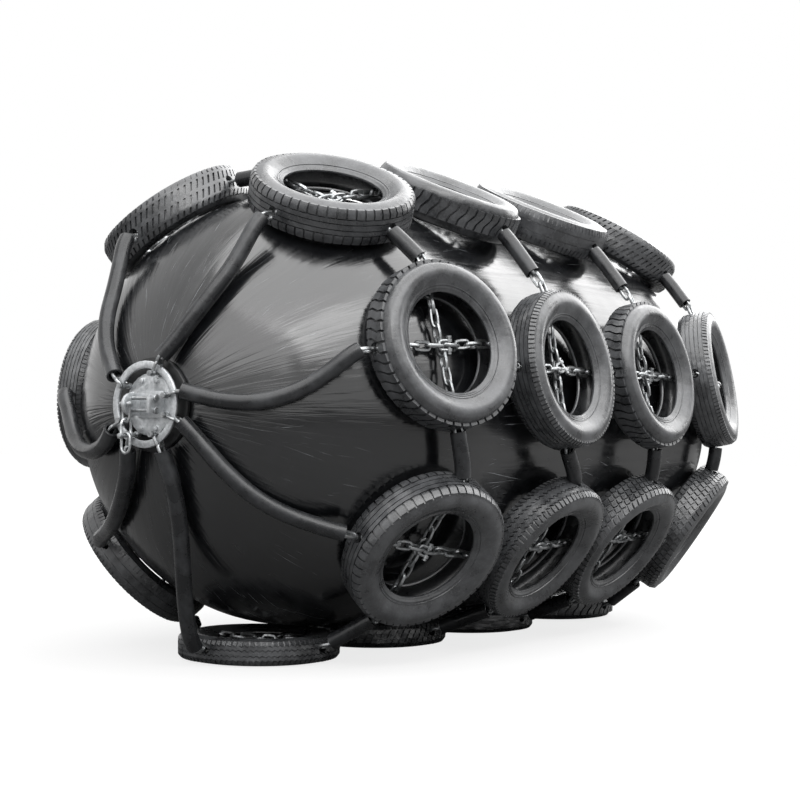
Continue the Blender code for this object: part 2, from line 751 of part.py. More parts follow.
def build_clevis(materials, parent):
    """Clevis on the front cover: a foot plate, two cheeks and two cross bolts."""
    steel = materials["plate"]
    foot = cover_face_x() + SEAT_GAP
    half = CHEEK_THICKNESS / 2
    shape = bmesh.new()
    box_into(shape, (-(foot + CLEVIS_FOOT_THICKNESS), RIGHT_CHEEK_Y - half,
                     -CLEVIS_FOOT_HEIGHT / 2),
             (-foot, LEFT_CHEEK_Y + half, CLEVIS_FOOT_HEIGHT / 2))
    clevis = add_object("tow_clevis", finish_mesh("tow_clevis", shape), steel, parent)
    shape = bmesh.new()
    plate_into(shape, cheek_outline(LEFT_CHEEK_REACH, LEFT_CHEEK_HEIGHT, True), LEFT_CHEEK_Y)
    plate_into(shape, cheek_outline(RIGHT_CHEEK_REACH, RIGHT_CHEEK_HEIGHT, False), RIGHT_CHEEK_Y)
    join_cutter("clevis_cheeks", finish_mesh("cheeks", shape), clevis, "UNION", steel, parent)
    bolt_x = -(foot + CROSS_BOLT_REACH)
    middle_y = (LEFT_CHEEK_Y + RIGHT_CHEEK_Y) / 2
    grip = LEFT_CHEEK_Y - RIGHT_CHEEK_Y + CHEEK_THICKNESS
    shape = bmesh.new()
    for z in (UPPER_BOLT_Z, LOWER_BOLT_Z):
        cylinder_into(shape, (bolt_x, middle_y, z), (0, 1, 0),
                      CROSS_BOLT_DIAMETER / 2 + RUNNING_GAP, grip + CHEEK_THICKNESS,
                      PIN_HOLE_SIDES)
    cylinder_into(shape, (tow_hole().x, LEFT_CHEEK_Y, tow_hole().z), (0, 1, 0),
                  TOW_PIN_DIAMETER / 2 + RUNNING_GAP, 2 * CHEEK_THICKNESS, PIN_HOLE_SIDES)
    join_cutter("clevis_holes", finish_mesh("holes", shape), clevis, "DIFFERENCE", steel, parent)
    for name, z in (("upper_cross_bolt", UPPER_BOLT_Z), ("lower_cross_bolt", LOWER_BOLT_Z)):
        mesh = headed_pin(name, grip + 2 * SEAT_GAP, CROSS_BOLT_DIAMETER,
                          CROSS_BOLT_HEAD_DIAMETER, CROSS_BOLT_HEAD_LENGTH)
        turn = Matrix.Rotation(math.pi / 2, 4, "Z")
        add_object(name, mesh, materials["bolt"], parent,
                   Matrix.Translation((bolt_x, middle_y, z)) @ turn)


def headed_pin(name, grip, diameter, head_diameter, head_length):
    """A pin along X with a head at each end, its middle at the origin."""
    half = grip / 2
    profile = [(-half - head_length, head_diameter / 2), (-half, head_diameter / 2),
               (-half, diameter / 2), (half, diameter / 2),
               (half, head_diameter / 2), (half + head_length, head_diameter / 2)]
    return lathe(name, profile, PIN_SIDES, 35.0)


def tow_hole():
    """Middle of the hole that the tow shackle's pin goes through."""
    return Vector((-(cover_face_x() + SEAT_GAP + TOW_HOLE_REACH), LEFT_CHEEK_Y, 0.0))


def wire_mesh(name, points, wire, closed):
    """A round bar along points in the YZ plane, open ended or closed."""
    shape = bmesh.new()
    loops = []
    count = len(points)
    for index, point in enumerate(points):
        before = points[index - 1] if closed or index else point
        after = points[(index + 1) % count] if closed or index + 1 < count else point
        ahead = (after - before).normalized()
        side = Vector((1.0, 0.0, 0.0))
        up = ahead.cross(side)
        loop = []
        for step in range(WIRE_SIDES):
            turn = 2.0 * math.pi * (step + 0.5) / WIRE_SIDES
            offset = side * math.cos(turn) + up * math.sin(turn)
            loop.append(shape.verts.new(point + offset * wire / 2))
        loops.append(loop)
    pairs = list(zip(loops, loops[1:]))
    if closed:
        pairs.append((loops[-1], loops[0]))
    for low, high in pairs:
        for side in range(WIRE_SIDES):
            after = (side + 1) % WIRE_SIDES
            shape.faces.new((low[side], low[after], high[after], high[side]))
    if not closed:
        shape.faces.new(loops[0])
        shape.faces.new(loops[-1])
    return finish_mesh(name, shape, 60.0)


def shackle_points(spread, drop, wire):
    """Middle line of a U that hangs from its pin, in the YZ plane."""
    half = spread / 2
    bend = drop - half + wire / 2
    points = [Vector((0.0, half, 0.0))]
    for step in range(BEND_STEPS + 1):
        turn = math.pi * step / BEND_STEPS
        points.append(Vector((0.0, half * math.cos(turn), -bend - half * math.sin(turn))))
    points.append(Vector((0.0, -half, 0.0)))
    return points


def build_shackle(name, spread, drop, wire, pin, materials, place, parent):
    """A U shackle with an eye at each end, and its pin."""
    steel = materials["bolt"]
    turn = Matrix.Rotation(math.pi / 2, 4, "Z")
    body = add_object(name, wire_mesh(name, shackle_points(spread, drop, wire), wire, False),
                      steel, parent, place)
    eyes = bmesh.new()
    hole = bmesh.new()
    for side in (-1.0, 1.0):
        centre = (0.0, side * spread / 2, 0.0)
        cylinder_into(eyes, centre, (0, 1, 0), EYE_DIAMETER / 2, EYE_LENGTH, PIN_SIDES)
        cylinder_into(hole, centre, (0, 1, 0), pin / 2 + RUNNING_GAP, 2 * EYE_LENGTH, PIN_SIDES)
    for label, shape, operation in (("eyes", eyes, "UNION"), ("eye_holes", hole, "DIFFERENCE")):
        join_cutter(f"{name}_{label}", finish_mesh(label, shape), body, operation, steel, parent)
        bpy.data.objects[f"{name}_{label}"].matrix_local = place
    grip = spread + EYE_LENGTH + 2 * SEAT_GAP
    mesh = headed_pin(f"{name}_pin", grip, pin, PIN_HEAD_DIAMETER, PIN_HEAD_LENGTH)
    add_object(f"{name}_pin", mesh, steel, parent, place @ turn)


def build_tow_gear(materials, parent):
    """Tow shackle, joining shackle and end link, each hanging in the last."""
    hole = tow_hole()
    build_shackle("tow_shackle", TOW_SHACKLE_SPREAD, TOW_SHACKLE_DROP, TOW_SHACKLE_WIRE,
                  TOW_PIN_DIAMETER, materials, Matrix.Translation(hole), parent)
    crown = hole - Vector((0.0, 0.0, TOW_SHACKLE_DROP + TOW_SHACKLE_WIRE / 2))
    lift = (TOW_SHACKLE_WIRE + JOINING_SHACKLE_WIRE) / 2 + RUNNING_GAP
    pin = crown - Vector((0.0, 0.0, JOINING_SHACKLE_DROP + JOINING_SHACKLE_WIRE / 2 - lift))
    # The joining shackle is upside down and a quarter turn round, its crown over the bar
    flip = Matrix.Rotation(math.pi, 4, "Y") @ Matrix.Rotation(math.pi / 2, 4, "Z")
    build_shackle("joining_shackle", JOINING_SHACKLE_SPREAD, JOINING_SHACKLE_DROP,
                  JOINING_SHACKLE_WIRE, JOINING_PIN_DIAMETER, materials,
                  Matrix.Translation(pin) @ flip, parent)
    half = (END_LINK_WIDTH - END_LINK_WIRE) / 2
    top = JOINING_PIN_DIAMETER / 2 + RUNNING_GAP + END_LINK_WIRE / 2
    straight = END_LINK_LENGTH - END_LINK_WIDTH
    points = []
    for end, centre in ((1.0, top - half), (-1.0, top - half - straight)):
        for step in range(BEND_STEPS + 1):
            turn = math.pi * step / BEND_STEPS
            points.append(Vector((0.0, end * half * math.cos(turn),
                                  centre + end * half * math.sin(turn))))
    add_object("end_link", wire_mesh("end_link", points, END_LINK_WIRE, True),
               materials["bolt"], parent, Matrix.Translation(pin))


def stand_on_floor(frame):
    """Move the whole fender so that its underside is centred on the origin."""
    bpy.context.view_layer.update()
    corners = []
    for thing in bpy.data.objects:
        if thing.type == "MESH" and not thing.hide_render:
            corners += [thing.matrix_world @ vertex.co for vertex in thing.data.vertices]
    low = [min(corner[axis] for corner in corners) for axis in range(3)]
    high = [max(corner[axis] for corner in corners) for axis in range(3)]
    frame.location = (-(low[0] + high[0]) / 2, -(low[1] + high[1]) / 2, -low[2])


def main():
    """Build the fender piece by piece."""
    clear_scene()
    frame = bpy.data.objects.new("fender_frame", None)
    bpy.context.scene.collection.objects.link(frame)
    rubber = make_material("bag_rubber", (0.012, 0.012, 0.014), 0.32, 0.0)
    tyre = make_material("tyre_rubber", (0.025, 0.025, 0.026), 0.72, 0.0)
    chain = make_material("galvanised_chain", (0.42, 0.42, 0.43), 0.42, 0.9)
    materials = {
        "plate": make_material("galvanised_plate", (0.52, 0.53, 0.54), 0.48, 0.85),
        "bolt": make_material("galvanised_bolt", (0.60, 0.60, 0.61), 0.38, 0.9),
        "brass": make_material("valve_brass", (0.55, 0.42, 0.20), 0.35, 0.95),
    }
    bag = build_bag(rubber, frame)
    seats = build_tyres(tyre, frame, bag.data)
    build_hoops(chain, frame, seats)
    build_runs(chain, frame, seats)
    build_end("front", FRONT, materials, frame)
    build_end("rear", REAR, materials, frame)
    build_valve(materials, frame)
    build_clevis(materials, frame)
    build_tow_gear(materials, frame)
    stand_on_floor(frame)


main()
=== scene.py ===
"""Looks of the pneumatic fender: a glossy rubber bag in a net of chain, hose and old tyres.

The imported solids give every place. This script dresses them: each tyre gets its
tread and its beads, each chain its own links, each hose its wall, and each end
its plates, bolts and shackles. A studio with a pale floor stands round them.
"""

import logging
import math
import random
from dataclasses import dataclass, field
from enum import Enum
from typing import Callable, Iterable, Sequence

import bpy
import numpy as np
from mathutils import Matrix, Vector


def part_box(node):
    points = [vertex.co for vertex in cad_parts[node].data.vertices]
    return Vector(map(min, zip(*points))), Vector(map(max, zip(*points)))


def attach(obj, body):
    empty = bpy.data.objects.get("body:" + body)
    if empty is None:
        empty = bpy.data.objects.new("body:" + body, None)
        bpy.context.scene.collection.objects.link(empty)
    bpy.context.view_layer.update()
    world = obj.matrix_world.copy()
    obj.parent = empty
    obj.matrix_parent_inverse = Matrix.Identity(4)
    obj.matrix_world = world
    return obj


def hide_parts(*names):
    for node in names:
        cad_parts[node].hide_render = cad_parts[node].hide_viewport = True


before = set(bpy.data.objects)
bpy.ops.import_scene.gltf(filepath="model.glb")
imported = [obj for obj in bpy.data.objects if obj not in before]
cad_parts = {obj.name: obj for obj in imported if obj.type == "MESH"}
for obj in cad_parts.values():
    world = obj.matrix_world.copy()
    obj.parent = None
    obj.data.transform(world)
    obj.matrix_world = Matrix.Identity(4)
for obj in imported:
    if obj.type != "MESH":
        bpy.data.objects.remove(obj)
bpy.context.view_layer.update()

log = logging.getLogger("fender")

FENDER_BODY = "fender"
RING_COUNT = 4
COLUMN_COUNT = 7
MERGE_DISTANCE = 0.00002
AXIAL = Vector((1.0, 0.0, 0.0))


def linear(hex_colour: str) -> tuple[float, float, float, float]:
    """Turn an sRGB hex colour into the linear colour that the shaders take.

    Args:
        hex_colour: six hex digits, such as "2a2b2d".

    Returns:
        Red, green, blue and an alpha of one.
    """
    channels = []
    for start in (0, 2, 4):
        value = int(hex_colour[start:start + 2], 16) / 255.0
        low = value / 12.92
        high = ((value + 0.055) / 1.055) ** 2.4
        channels.append(low if value <= 0.04045 else high)
    return channels[0], channels[1], channels[2], 1.0


class Shading:
    """A material under construction, with one call that adds a node."""

    def __init__(self, name: str) -> None:
        """Start a material that holds only a Principled shader.

        Args:
            name: the finish's own name.
        """
        self.material = bpy.data.materials.new(name)
        self.material.use_nodes = True
        self.tree = self.material.node_tree
        self.place = self.add("ShaderNodeTexCoord").outputs["Object"]

    def feed(self, node: bpy.types.Node, values: dict[str | int, object]) -> None:
        """Set a node's properties and inputs, and link the inputs given as sockets.

        Args:
            node: the node.
            values: property, input name or input number to its value or its source.
        """
        for key, value in values.items():
            if isinstance(value, bpy.types.NodeSocket):
                self.tree.links.new(value, node.inputs[key])
            elif isinstance(key, str) and hasattr(node, key):
                setattr(node, key, value)
            else:
                node.inputs[key].default_value = value

    def add(self, kind: str, values: dict[str | int, object] | None = None) -> bpy.types.Node:
        """Add a node with its settings and its incoming links.

        Args:
            kind: Blender's name of the node type.
            values: its settings and sources, as feed takes them.

        Returns:
            The new node.
        """
        made = self.tree.nodes.new(kind)
        self.feed(made, values or {})
        return made

    def ramp(self, source: bpy.types.NodeSocket, low: float, high: float,
             to_low: float = 0.0, to_high: float = 1.0) -> bpy.types.NodeSocket:
        """Stretch a value from one range to another, held at both ends.

        Args:
            source: the value to stretch.
            low: value that gives to_low.
            high: value that gives to_high.
            to_low: result at the low end.
            to_high: result at the high end.

        Returns:
            The stretched value.
        """
        return self.add("ShaderNodeMapRange", {
            "Value": source, "From Min": low, "From Max": high,
            "To Min": to_low, "To Max": to_high}).outputs[0]

    def blend(self, share: bpy.types.NodeSocket, first: object,
              second: object) -> bpy.types.NodeSocket:
        """Mix two colours, each a colour or a socket, by the second one's share."""
        return self.add("ShaderNodeMix", {"data_type": "RGBA", 0: share,
                                          6: first, 7: second}).outputs[2]

    def join(self, operation: str, first: object, second: object) -> bpy.types.NodeSocket:
        """Combine two values, each a number or a socket, with one operation."""
        return self.add("ShaderNodeMath", {"operation": operation, 0: first,
                                           1: second}).outputs[0]

    def noise(self, size: float, detail: float = 3.0,
              roughness: float = 0.5) -> bpy.types.NodeSocket:
        """Cloudy noise over the object, whose blotches have a real size.

        Args:
            size: size of a blotch in metres.
            detail: how many finer layers it has.
            roughness: how strong the finer layers are.

        Returns:
            The noise value.
        """
        return self.add("ShaderNodeTexNoise", {
            "Vector": self.place, "Scale": 1.0 / size, "Detail": detail,
            "Roughness": roughness}).outputs[0]

    def blotches(self, size: float, low: float, high: float, detail: float = 3.0,
                 roughness: float = 0.5) -> bpy.types.NodeSocket:
        """Noise cut into blotches with soft edges.

        Args:
            size: size of a blotch in metres.
            low: noise value at which a blotch begins.
            high: noise value at which it is full.
            detail: how many finer layers it has.
            roughness: how strong the finer layers are.

        Returns:
            How much of a blotch there is, from zero to one.
        """
        return self.ramp(self.noise(size, detail, roughness), low, high)

    def bump(self, height: bpy.types.NodeSocket, depth: float, strength: float = 1.0,
             after: bpy.types.NodeSocket | None = None) -> bpy.types.NodeSocket:
        """Relief of a real depth.

        Args:
            height: the relief, from zero to one.
            depth: its depth in metres.
            strength: how much of it shows.
            after: a normal that already has coarser relief.

        Returns:
            The bent normal.
        """
        values = {"Height": height, "Distance": depth, "Strength": strength}
        if after is not None:
            values["Normal"] = after
        return self.add("ShaderNodeBump", values).outputs[0]

    def finish(self, values: dict[str, object]) -> bpy.types.Material:
        """Set the shader's own values, feed its patterned ones, and give the material."""
        self.feed(self.tree.nodes["Principled BSDF"], values)
        return self.material


@dataclass(frozen=True)
class BagRubber:
    """Moulded black rubber of the bag: it mirrors the sky, streaked by drag marks.

    A streak's four numbers are its lean, width, length and seed.
    """

    middle: Vector
    black: str = "101113"
    worn: str = "2c2e31"
    scratch_colour: str = "b4b8bc"
    scratches: tuple[tuple[float, float, float, float], ...] = (
        (0.04, 0.010, 0.60, 3.0), (-0.13, 0.009, 0.45, 11.0), (0.24, 0.011, 0.35, 23.0))
    smears: tuple[float, float, float, float] = (0.02, 0.045, 0.9, 41.0)
    worn_share: float = 0.35
    scratch_share: float = 0.75
    roughness: tuple[float, float] = (0.13, 0.26)
    scuff_roughness: float = 0.07
    scratch_roughness: float = 0.30

    def streaks(self, make: Shading, along: bpy.types.NodeSocket, turn: bpy.types.NodeSocket,
                lean: float, width: float, length: float, seed: float) -> bpy.types.NodeSocket:
        """Noise drawn out along the bag and over its domes.

        Args:
            make: the material under construction.
            along: distance along the bag.
            turn: angle round the bag.
            lean: how far the streaks slant, as angle for each metre along.
            width: width of a streak in metres on the barrel, narrower towards the ends.
            length: length of a streak in metres.
            seed: shifts the pattern.

        Returns:
            The noise value.
        """
        slant = make.join("ADD", turn, make.join("MULTIPLY", along, lean))
        fine = make.join("MULTIPLY", slant, 1.0 / width)
        slow = make.join("MULTIPLY", along, 1.0 / length)
        grid = make.add("ShaderNodeCombineXYZ", {0: fine, 1: slow, 2: seed}).outputs[0]
        return make.add("ShaderNodeTexNoise", {"Vector": grid, "Scale": 1.0, "Detail": 3.0,
                                               "Roughness": 0.6}).outputs[0]

    def material(self) -> bpy.types.Material:
        """Build the rubber.

        Returns:
            The bag's material.
        """
        make = Shading("glossy_bag_rubber")
        centred = make.add("ShaderNodeVectorMath", {"operation": "SUBTRACT", 0: make.place,
                                                    1: self.middle}).outputs[0]
        x, y, z = make.add("ShaderNodeSeparateXYZ", {0: centred}).outputs
        turn = make.join("ARCTAN2", y, z)
        flat = make.add("ShaderNodeCombineXYZ", {1: y, 2: z}).outputs[0]
        radial = make.add("ShaderNodeVectorMath", {"operation": "LENGTH", 0: flat}).outputs[1]
        along = make.join("SUBTRACT", make.join("ABSOLUTE", x, 0.0), radial)
        marks = None
        for streak in self.scratches:
            lines = make.ramp(self.streaks(make, along, turn, *streak), low=0.67, high=0.73)
            marks = lines if marks is None else make.join("MAXIMUM", marks, lines)
        marks = make.join("MULTIPLY", marks, make.blotches(size=0.50, low=0.44, high=0.62))
        scuffs = make.blotches(size=0.30, low=0.48, high=0.72, detail=6.0, roughness=0.65)
        smears = make.ramp(self.streaks(make, along, turn, *self.smears), low=0.40, high=0.68)
        colour = make.blend(make.join("MULTIPLY", scuffs, self.worn_share),
                            linear(self.black), linear(self.worn))
        colour = make.blend(make.join("MULTIPLY", marks, self.scratch_share), colour,
                            linear(self.scratch_colour))
        rough = make.join("ADD", make.join("MULTIPLY", scuffs, self.scuff_roughness),
                          make.join("MULTIPLY", marks, self.scratch_roughness))
        rough = make.join("ADD", rough, make.ramp(smears, 0.0, 1.0, *self.roughness))
        swell = make.bump(make.noise(size=0.45, detail=2.0), depth=0.010)
        wiped = make.bump(smears, depth=0.0012, strength=0.5, after=swell)
        return make.finish({"IOR": 1.60, "Specular IOR Level": 0.80, "Base Color": colour,
                            "Roughness": rough, "Normal": wiped})


@dataclass(frozen=True)
class TyreRubber:
    """Vulcanised tyre rubber, weathered: satin grey-black with blotches and specks of dust."""

    dark: str = "353638"
    dusty: str = "8a8c8f"
    cloud_share: float = 0.34
    speck_share: float = 0.18
    roughness: tuple[float, float] = (0.24, 0.44)

    def material(self) -> bpy.types.Material:
        """Build the rubber.

        Returns:
            The tyres' material.
        """
        make = Shading("weathered_tyre_rubber")
        clouds = make.blotches(size=0.11, low=0.38, high=0.72, detail=5.0, roughness=0.6)
        specks = make.blotches(size=0.010, low=0.52, high=0.72, roughness=0.7)
        dust = make.join("ADD", make.join("MULTIPLY", clouds, self.cloud_share),
                         make.join("MULTIPLY", specks, self.speck_share))
        colour = make.blend(dust, linear(self.dark), linear(self.dusty))
        coarse = make.bump(make.noise(size=0.045), depth=0.0025)
        fine = make.bump(make.noise(size=0.004, detail=2.0), depth=0.0005, strength=0.6,
                         after=coarse)
        return make.finish({"IOR": 1.50, "Specular IOR Level": 0.85, "Base Color": colour,
                            "Roughness": make.ramp(clouds, 0.0, 1.0, *self.roughness),
                            "Normal": fine})


@dataclass(frozen=True)
class HoseRubber:
    """Extruded hose rubber: smooth and matt, rubbed pale along its length."""

    dark: str = "222325"
    rubbed: str = "6a6c6f"
    rubbed_share: float = 0.35
    roughness: tuple[float, float] = (0.26, 0.48)

    def material(self) -> bpy.types.Material:
        """Build the rubber.

        Returns:
            The hoses' material.
        """
        make = Shading("extruded_hose_rubber")
        rubs = make.blotches(size=0.12, low=0.45, high=0.75, detail=5.0, roughness=0.65)
        colour = make.blend(make.join("MULTIPLY", rubs, self.rubbed_share),
                            linear(self.dark), linear(self.rubbed))
        dents = make.bump(make.noise(size=0.10, detail=2.0), depth=0.004)
        grain = make.bump(make.noise(size=0.004, detail=2.0), depth=0.0005, strength=0.6,
                          after=dents)
        return make.finish({"IOR": 1.50, "Specular IOR Level": 0.5, "Base Color": colour,
                            "Roughness": make.ramp(rubs, 0.0, 1.0, *self.roughness),
                            "Normal": grain})


@dataclass(frozen=True)
class GalvanisedSteel:
    """Hot-dip zinc on steel: bright grey metal, blotched, with rust stains."""

    name: str
    bright: str = "b9bbbc"
    dull: str = "808385"
    rust: str = "5a4334"
    roughness: float = 0.42
    rust_share: float = 0.25
    metallic: float = 0.90

    def material(self) -> bpy.types.Material:
        """Build the metal.

        Returns:
            The material of one kind of fitting.
        """
        make = Shading(self.name)
        spots = make.blotches(size=0.018, low=0.38, high=0.66, detail=4.0, roughness=0.6)
        stains = make.ramp(make.noise(size=0.030, detail=5.0, roughness=0.7), low=0.58,
                           high=0.72, to_high=self.rust_share)
        colour = make.blend(spots, linear(self.bright), linear(self.dull))
        colour = make.blend(stains, colour, linear(self.rust))
        rough = make.ramp(spots, 0.0, 1.0, self.roughness - 0.08, self.roughness + 0.12)
        normal = make.bump(make.noise(size=0.004), depth=0.0006)
        return make.finish({"Metallic": self.metallic, "Base Color": colour,
                            "Roughness": rough, "Normal": normal})


@dataclass(frozen=True)
class CastBrass:
    """Cast brass of the valve cap, dulled by salt air."""

    bright: str = "b89a62"
    dull: str = "7d6b49"

    def material(self) -> bpy.types.Material:
        """Build the metal.

        Returns:
            The valve cap's material.
        """
        make = Shading("salt_dulled_brass")
        spots = make.blotches(size=0.012, low=0.4, high=0.7, detail=4.0)
        return make.finish({"Metallic": 0.95,
                            "Base Color": make.blend(spots, linear(self.bright),
                                                     linear(self.dull)),
                            "Roughness": make.ramp(spots, 0.0, 1.0, 0.32, 0.55)})


class Part(Enum):
    """What is chosen on a mesh, by Blender's name of it."""

    POINTS = "VERT"
    FACES = "FACE"


class Bench:
    """Blender's own tools, each used on one selected object."""

    @staticmethod
    def clear() -> None:
        """Deselect everything."""
        bpy.ops.object.select_all(action="DESELECT")

    @staticmethod
    def take(piece: bpy.types.Object) -> bpy.types.Object:
        """Select one object alone and make it active.

        Args:
            piece: the object to work on.

        Returns:
            The same object.
        """
        Bench.clear()
        piece.select_set(True)
        bpy.context.view_layer.objects.active = piece
        return piece

    @staticmethod
    def edit(piece: bpy.types.Object, work: Callable[[], None], everything: bool = True) -> None:
        """Run edit-mode tools on an object.

        Args:
            piece: the object.
            work: what to do in edit mode.
            everything: select the whole mesh first.
        """
        Bench.take(piece)
        bpy.ops.object.mode_set(mode="EDIT")
        if everything:
            bpy.ops.mesh.select_all(action="SELECT")
        work()
        bpy.ops.object.mode_set(mode="OBJECT")

    @staticmethod
    def choose(piece: bpy.types.Object, part: Part, test: Callable[[Vector], bool]) -> None:
        """Select only the points or faces that pass a test, ready for edit mode.

        Args:
            piece: the object.
            part: what is chosen.
            test: says of a point, or of a face's middle, whether it is wanted.
        """
        Bench.edit(piece, lambda: bpy.ops.mesh.select_mode(type=part.value))
        Bench.edit(piece, lambda: bpy.ops.mesh.select_all(action="DESELECT"))
        if part is Part.POINTS:
            for vertex in piece.data.vertices:
                vertex.select = test(vertex.co)
        else:
            for face in piece.data.polygons:
                face.select = test(face.center)

    @staticmethod
    def modify(piece: bpy.types.Object, kind: str, **settings: object) -> None:
        """Add one modifier and apply it.

        Args:
            piece: the object.
            kind: Blender's name of the modifier type.
            settings: the modifier's values.
        """
        Bench.take(piece)
        made = piece.modifiers.new(kind.lower(), kind)
        for key, value in settings.items():
            setattr(made, key, value)
        bpy.ops.object.modifier_apply(modifier=made.name)

    @staticmethod
    def smooth(piece: bpy.types.Object, angle: float) -> None:
        """Shade smooth, with sharp edges past an angle in degrees."""
        Bench.take(piece)
        bpy.ops.object.shade_smooth_by_angle(angle=math.radians(angle))

    @staticmethod
    def close(piece: bpy.types.Object) -> None:
        """Merge double points and turn all faces outwards."""
        def work() -> None:
            """Merge and turn."""
            bpy.ops.mesh.remove_doubles(threshold=MERGE_DISTANCE)
            bpy.ops.mesh.normals_make_consistent(inside=False)
        Bench.edit(piece, work)

    @staticmethod
    def copy(piece: bpy.types.Object, name: str, place: Matrix) -> bpy.types.Object:
        """Copy an object with its own mesh and put its place in the mesh.

        Args:
            piece: the object to copy.
            name: the copy's name.
            place: where it goes.

        Returns:
            The copy, at the origin.
        """
        mesh = piece.data.copy()
        mesh.transform(place)
        if place.determinant() < 0.0:
            mesh.flip_normals()
        made = bpy.data.objects.new(name, mesh)
        bpy.context.scene.collection.objects.link(made)
        return made

    @staticmethod
    def weld(pieces: Sequence[bpy.types.Object], name: str) -> bpy.types.Object:
        """Join objects into one.

        Args:
            pieces: the objects.
            name: the joined object's name.

        Returns:
            The joined object.
        """
        Bench.take(pieces[0])
        for piece in pieces:
            piece.select_set(True)
        bpy.ops.object.join()
        pieces[0].name = name
        return pieces[0]

    @staticmethod
    def discard(piece: bpy.types.Object) -> None:
        """Remove a pattern object that was only copied."""
        bpy.data.objects.remove(piece, do_unlink=True)

    @staticmethod
    def bar(points: Sequence[Vector], radius: float, name: str, sides: int = 8,
            closed: bool = False, capped: bool = True) -> bpy.types.Object:
        """Sweep a round bar along points and make it a mesh.

        Args:
            points: the bar's middle line.
            radius: the bar's radius.
            name: the object's name.
            sides: sides of the bar, a multiple of four.
            closed: join the last point to the first.
            capped: close both ends.

        Returns:
            The bar.
        """
        curve = bpy.data.curves.new(name, "CURVE")
        curve.dimensions = "3D"
        curve.bevel_depth = radius
        curve.bevel_resolution = sides // 2 - 2
        curve.use_fill_caps = capped
        line = curve.splines.new("POLY")
        line.points.add(len(points) - 1)
        for knot, point in zip(line.points, points):
            knot.co = (*point, 1.0)
        line.use_cyclic_u = closed
        made = bpy.data.objects.new(name, curve)
        bpy.context.scene.collection.objects.link(made)
        Bench.take(made)
        bpy.ops.object.convert(target="MESH")
        made = bpy.context.view_layer.objects.active
        made.name = name
        Bench.close(made)
        return made

    @staticmethod
    def dress(piece: bpy.types.Object, material: bpy.types.Material, slot: str,
              replaced: Iterable[str], body: str = FENDER_BODY) -> bpy.types.Object:
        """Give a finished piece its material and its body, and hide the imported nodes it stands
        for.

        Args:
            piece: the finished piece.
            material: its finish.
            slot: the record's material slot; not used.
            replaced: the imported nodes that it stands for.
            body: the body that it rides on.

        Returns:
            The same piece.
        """
        piece.data.materials.clear()
        piece.data.materials.append(material)
        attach(piece, body)
        nodes = list(replaced)
        if nodes:
            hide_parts(*nodes)
        log.info("%s: %d faces", piece.name, len(piece.data.polygons))
        return piece


def node_points(node: str) -> np.ndarray:
    """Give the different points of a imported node, in metres.

    Args:
        node: the node's name.

    Returns:
        One row for each point.
    """
    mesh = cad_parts[node].data
    points = np.empty(len(mesh.vertices) * 3)
    mesh.vertices.foreach_get("co", points)
    return np.unique(points.reshape(-1, 3).round(5), axis=0)


def middle_and_radius(node: str) -> tuple[Vector, float]:
    """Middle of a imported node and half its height, in metres."""
    low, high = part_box(node)
    return (Vector(low) + Vector(high)) / 2, (high[2] - low[2]) / 2


def standing(place: Vector, ahead: Vector, side: Vector, above: Vector) -> Matrix:
    """Matrix that puts X, Y and Z along three directions at a place."""
    return Matrix.Translation(place) @ Matrix((ahead, side, above)).transposed().to_4x4()


@dataclass
class BagShape:
    """The bag's outline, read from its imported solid."""

    barrel_length: float = 1.90
    dome_exponent: float = 2.1
    tip_length: float = 3.92
    middle: Vector = field(init=False)
    radius: float = field(init=False)
    half_length: float = field(init=False)

    def __post_init__(self) -> None:
        """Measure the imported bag."""
        low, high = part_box("rubber_body")
        self.middle, self.radius = middle_and_radius("rubber_body")
        self.half_length = (high[0] - low[0]) / 2

    @property
    def barrel_half(self) -> float:
        """Half the straight part's length."""
        return self.barrel_length / 2

    @property
    def dome_length(self) -> float:
        """Length of a dome to its theoretical tip."""
        return self.tip_length / 2 - self.barrel_half

    def radius_at(self, reach: float) -> float:
        """Radius of the bag at a distance from its middle."""
        past = (abs(reach) - self.barrel_half) / self.dome_length
        if past <= 0.0:
            return self.radius
        share = max(0.0, 1.0 - past ** self.dome_exponent)
        return self.radius * share ** (1.0 / self.dome_exponent)

    def push_off(self, reach: float, radius: float, clearance: float) -> tuple[float, float]:
        """Move a point outwards until it clears the dome.

        Args:
            reach: distance from the middle along the fender.
            radius: distance from the axis.
            clearance: how far off the dome it has to be.

        Returns:
            The new reach and radius.
        """
        past = reach - self.barrel_half
        distance = math.hypot(past, radius)
        total = ((past / distance / self.dome_length) ** self.dome_exponent
                 + (radius / distance / self.radius) ** self.dome_exponent)
        surface = total ** (-1.0 / self.dome_exponent)
        scale = max(1.0, (surface + clearance) / distance)
        return self.barrel_half + past * scale, radius * scale


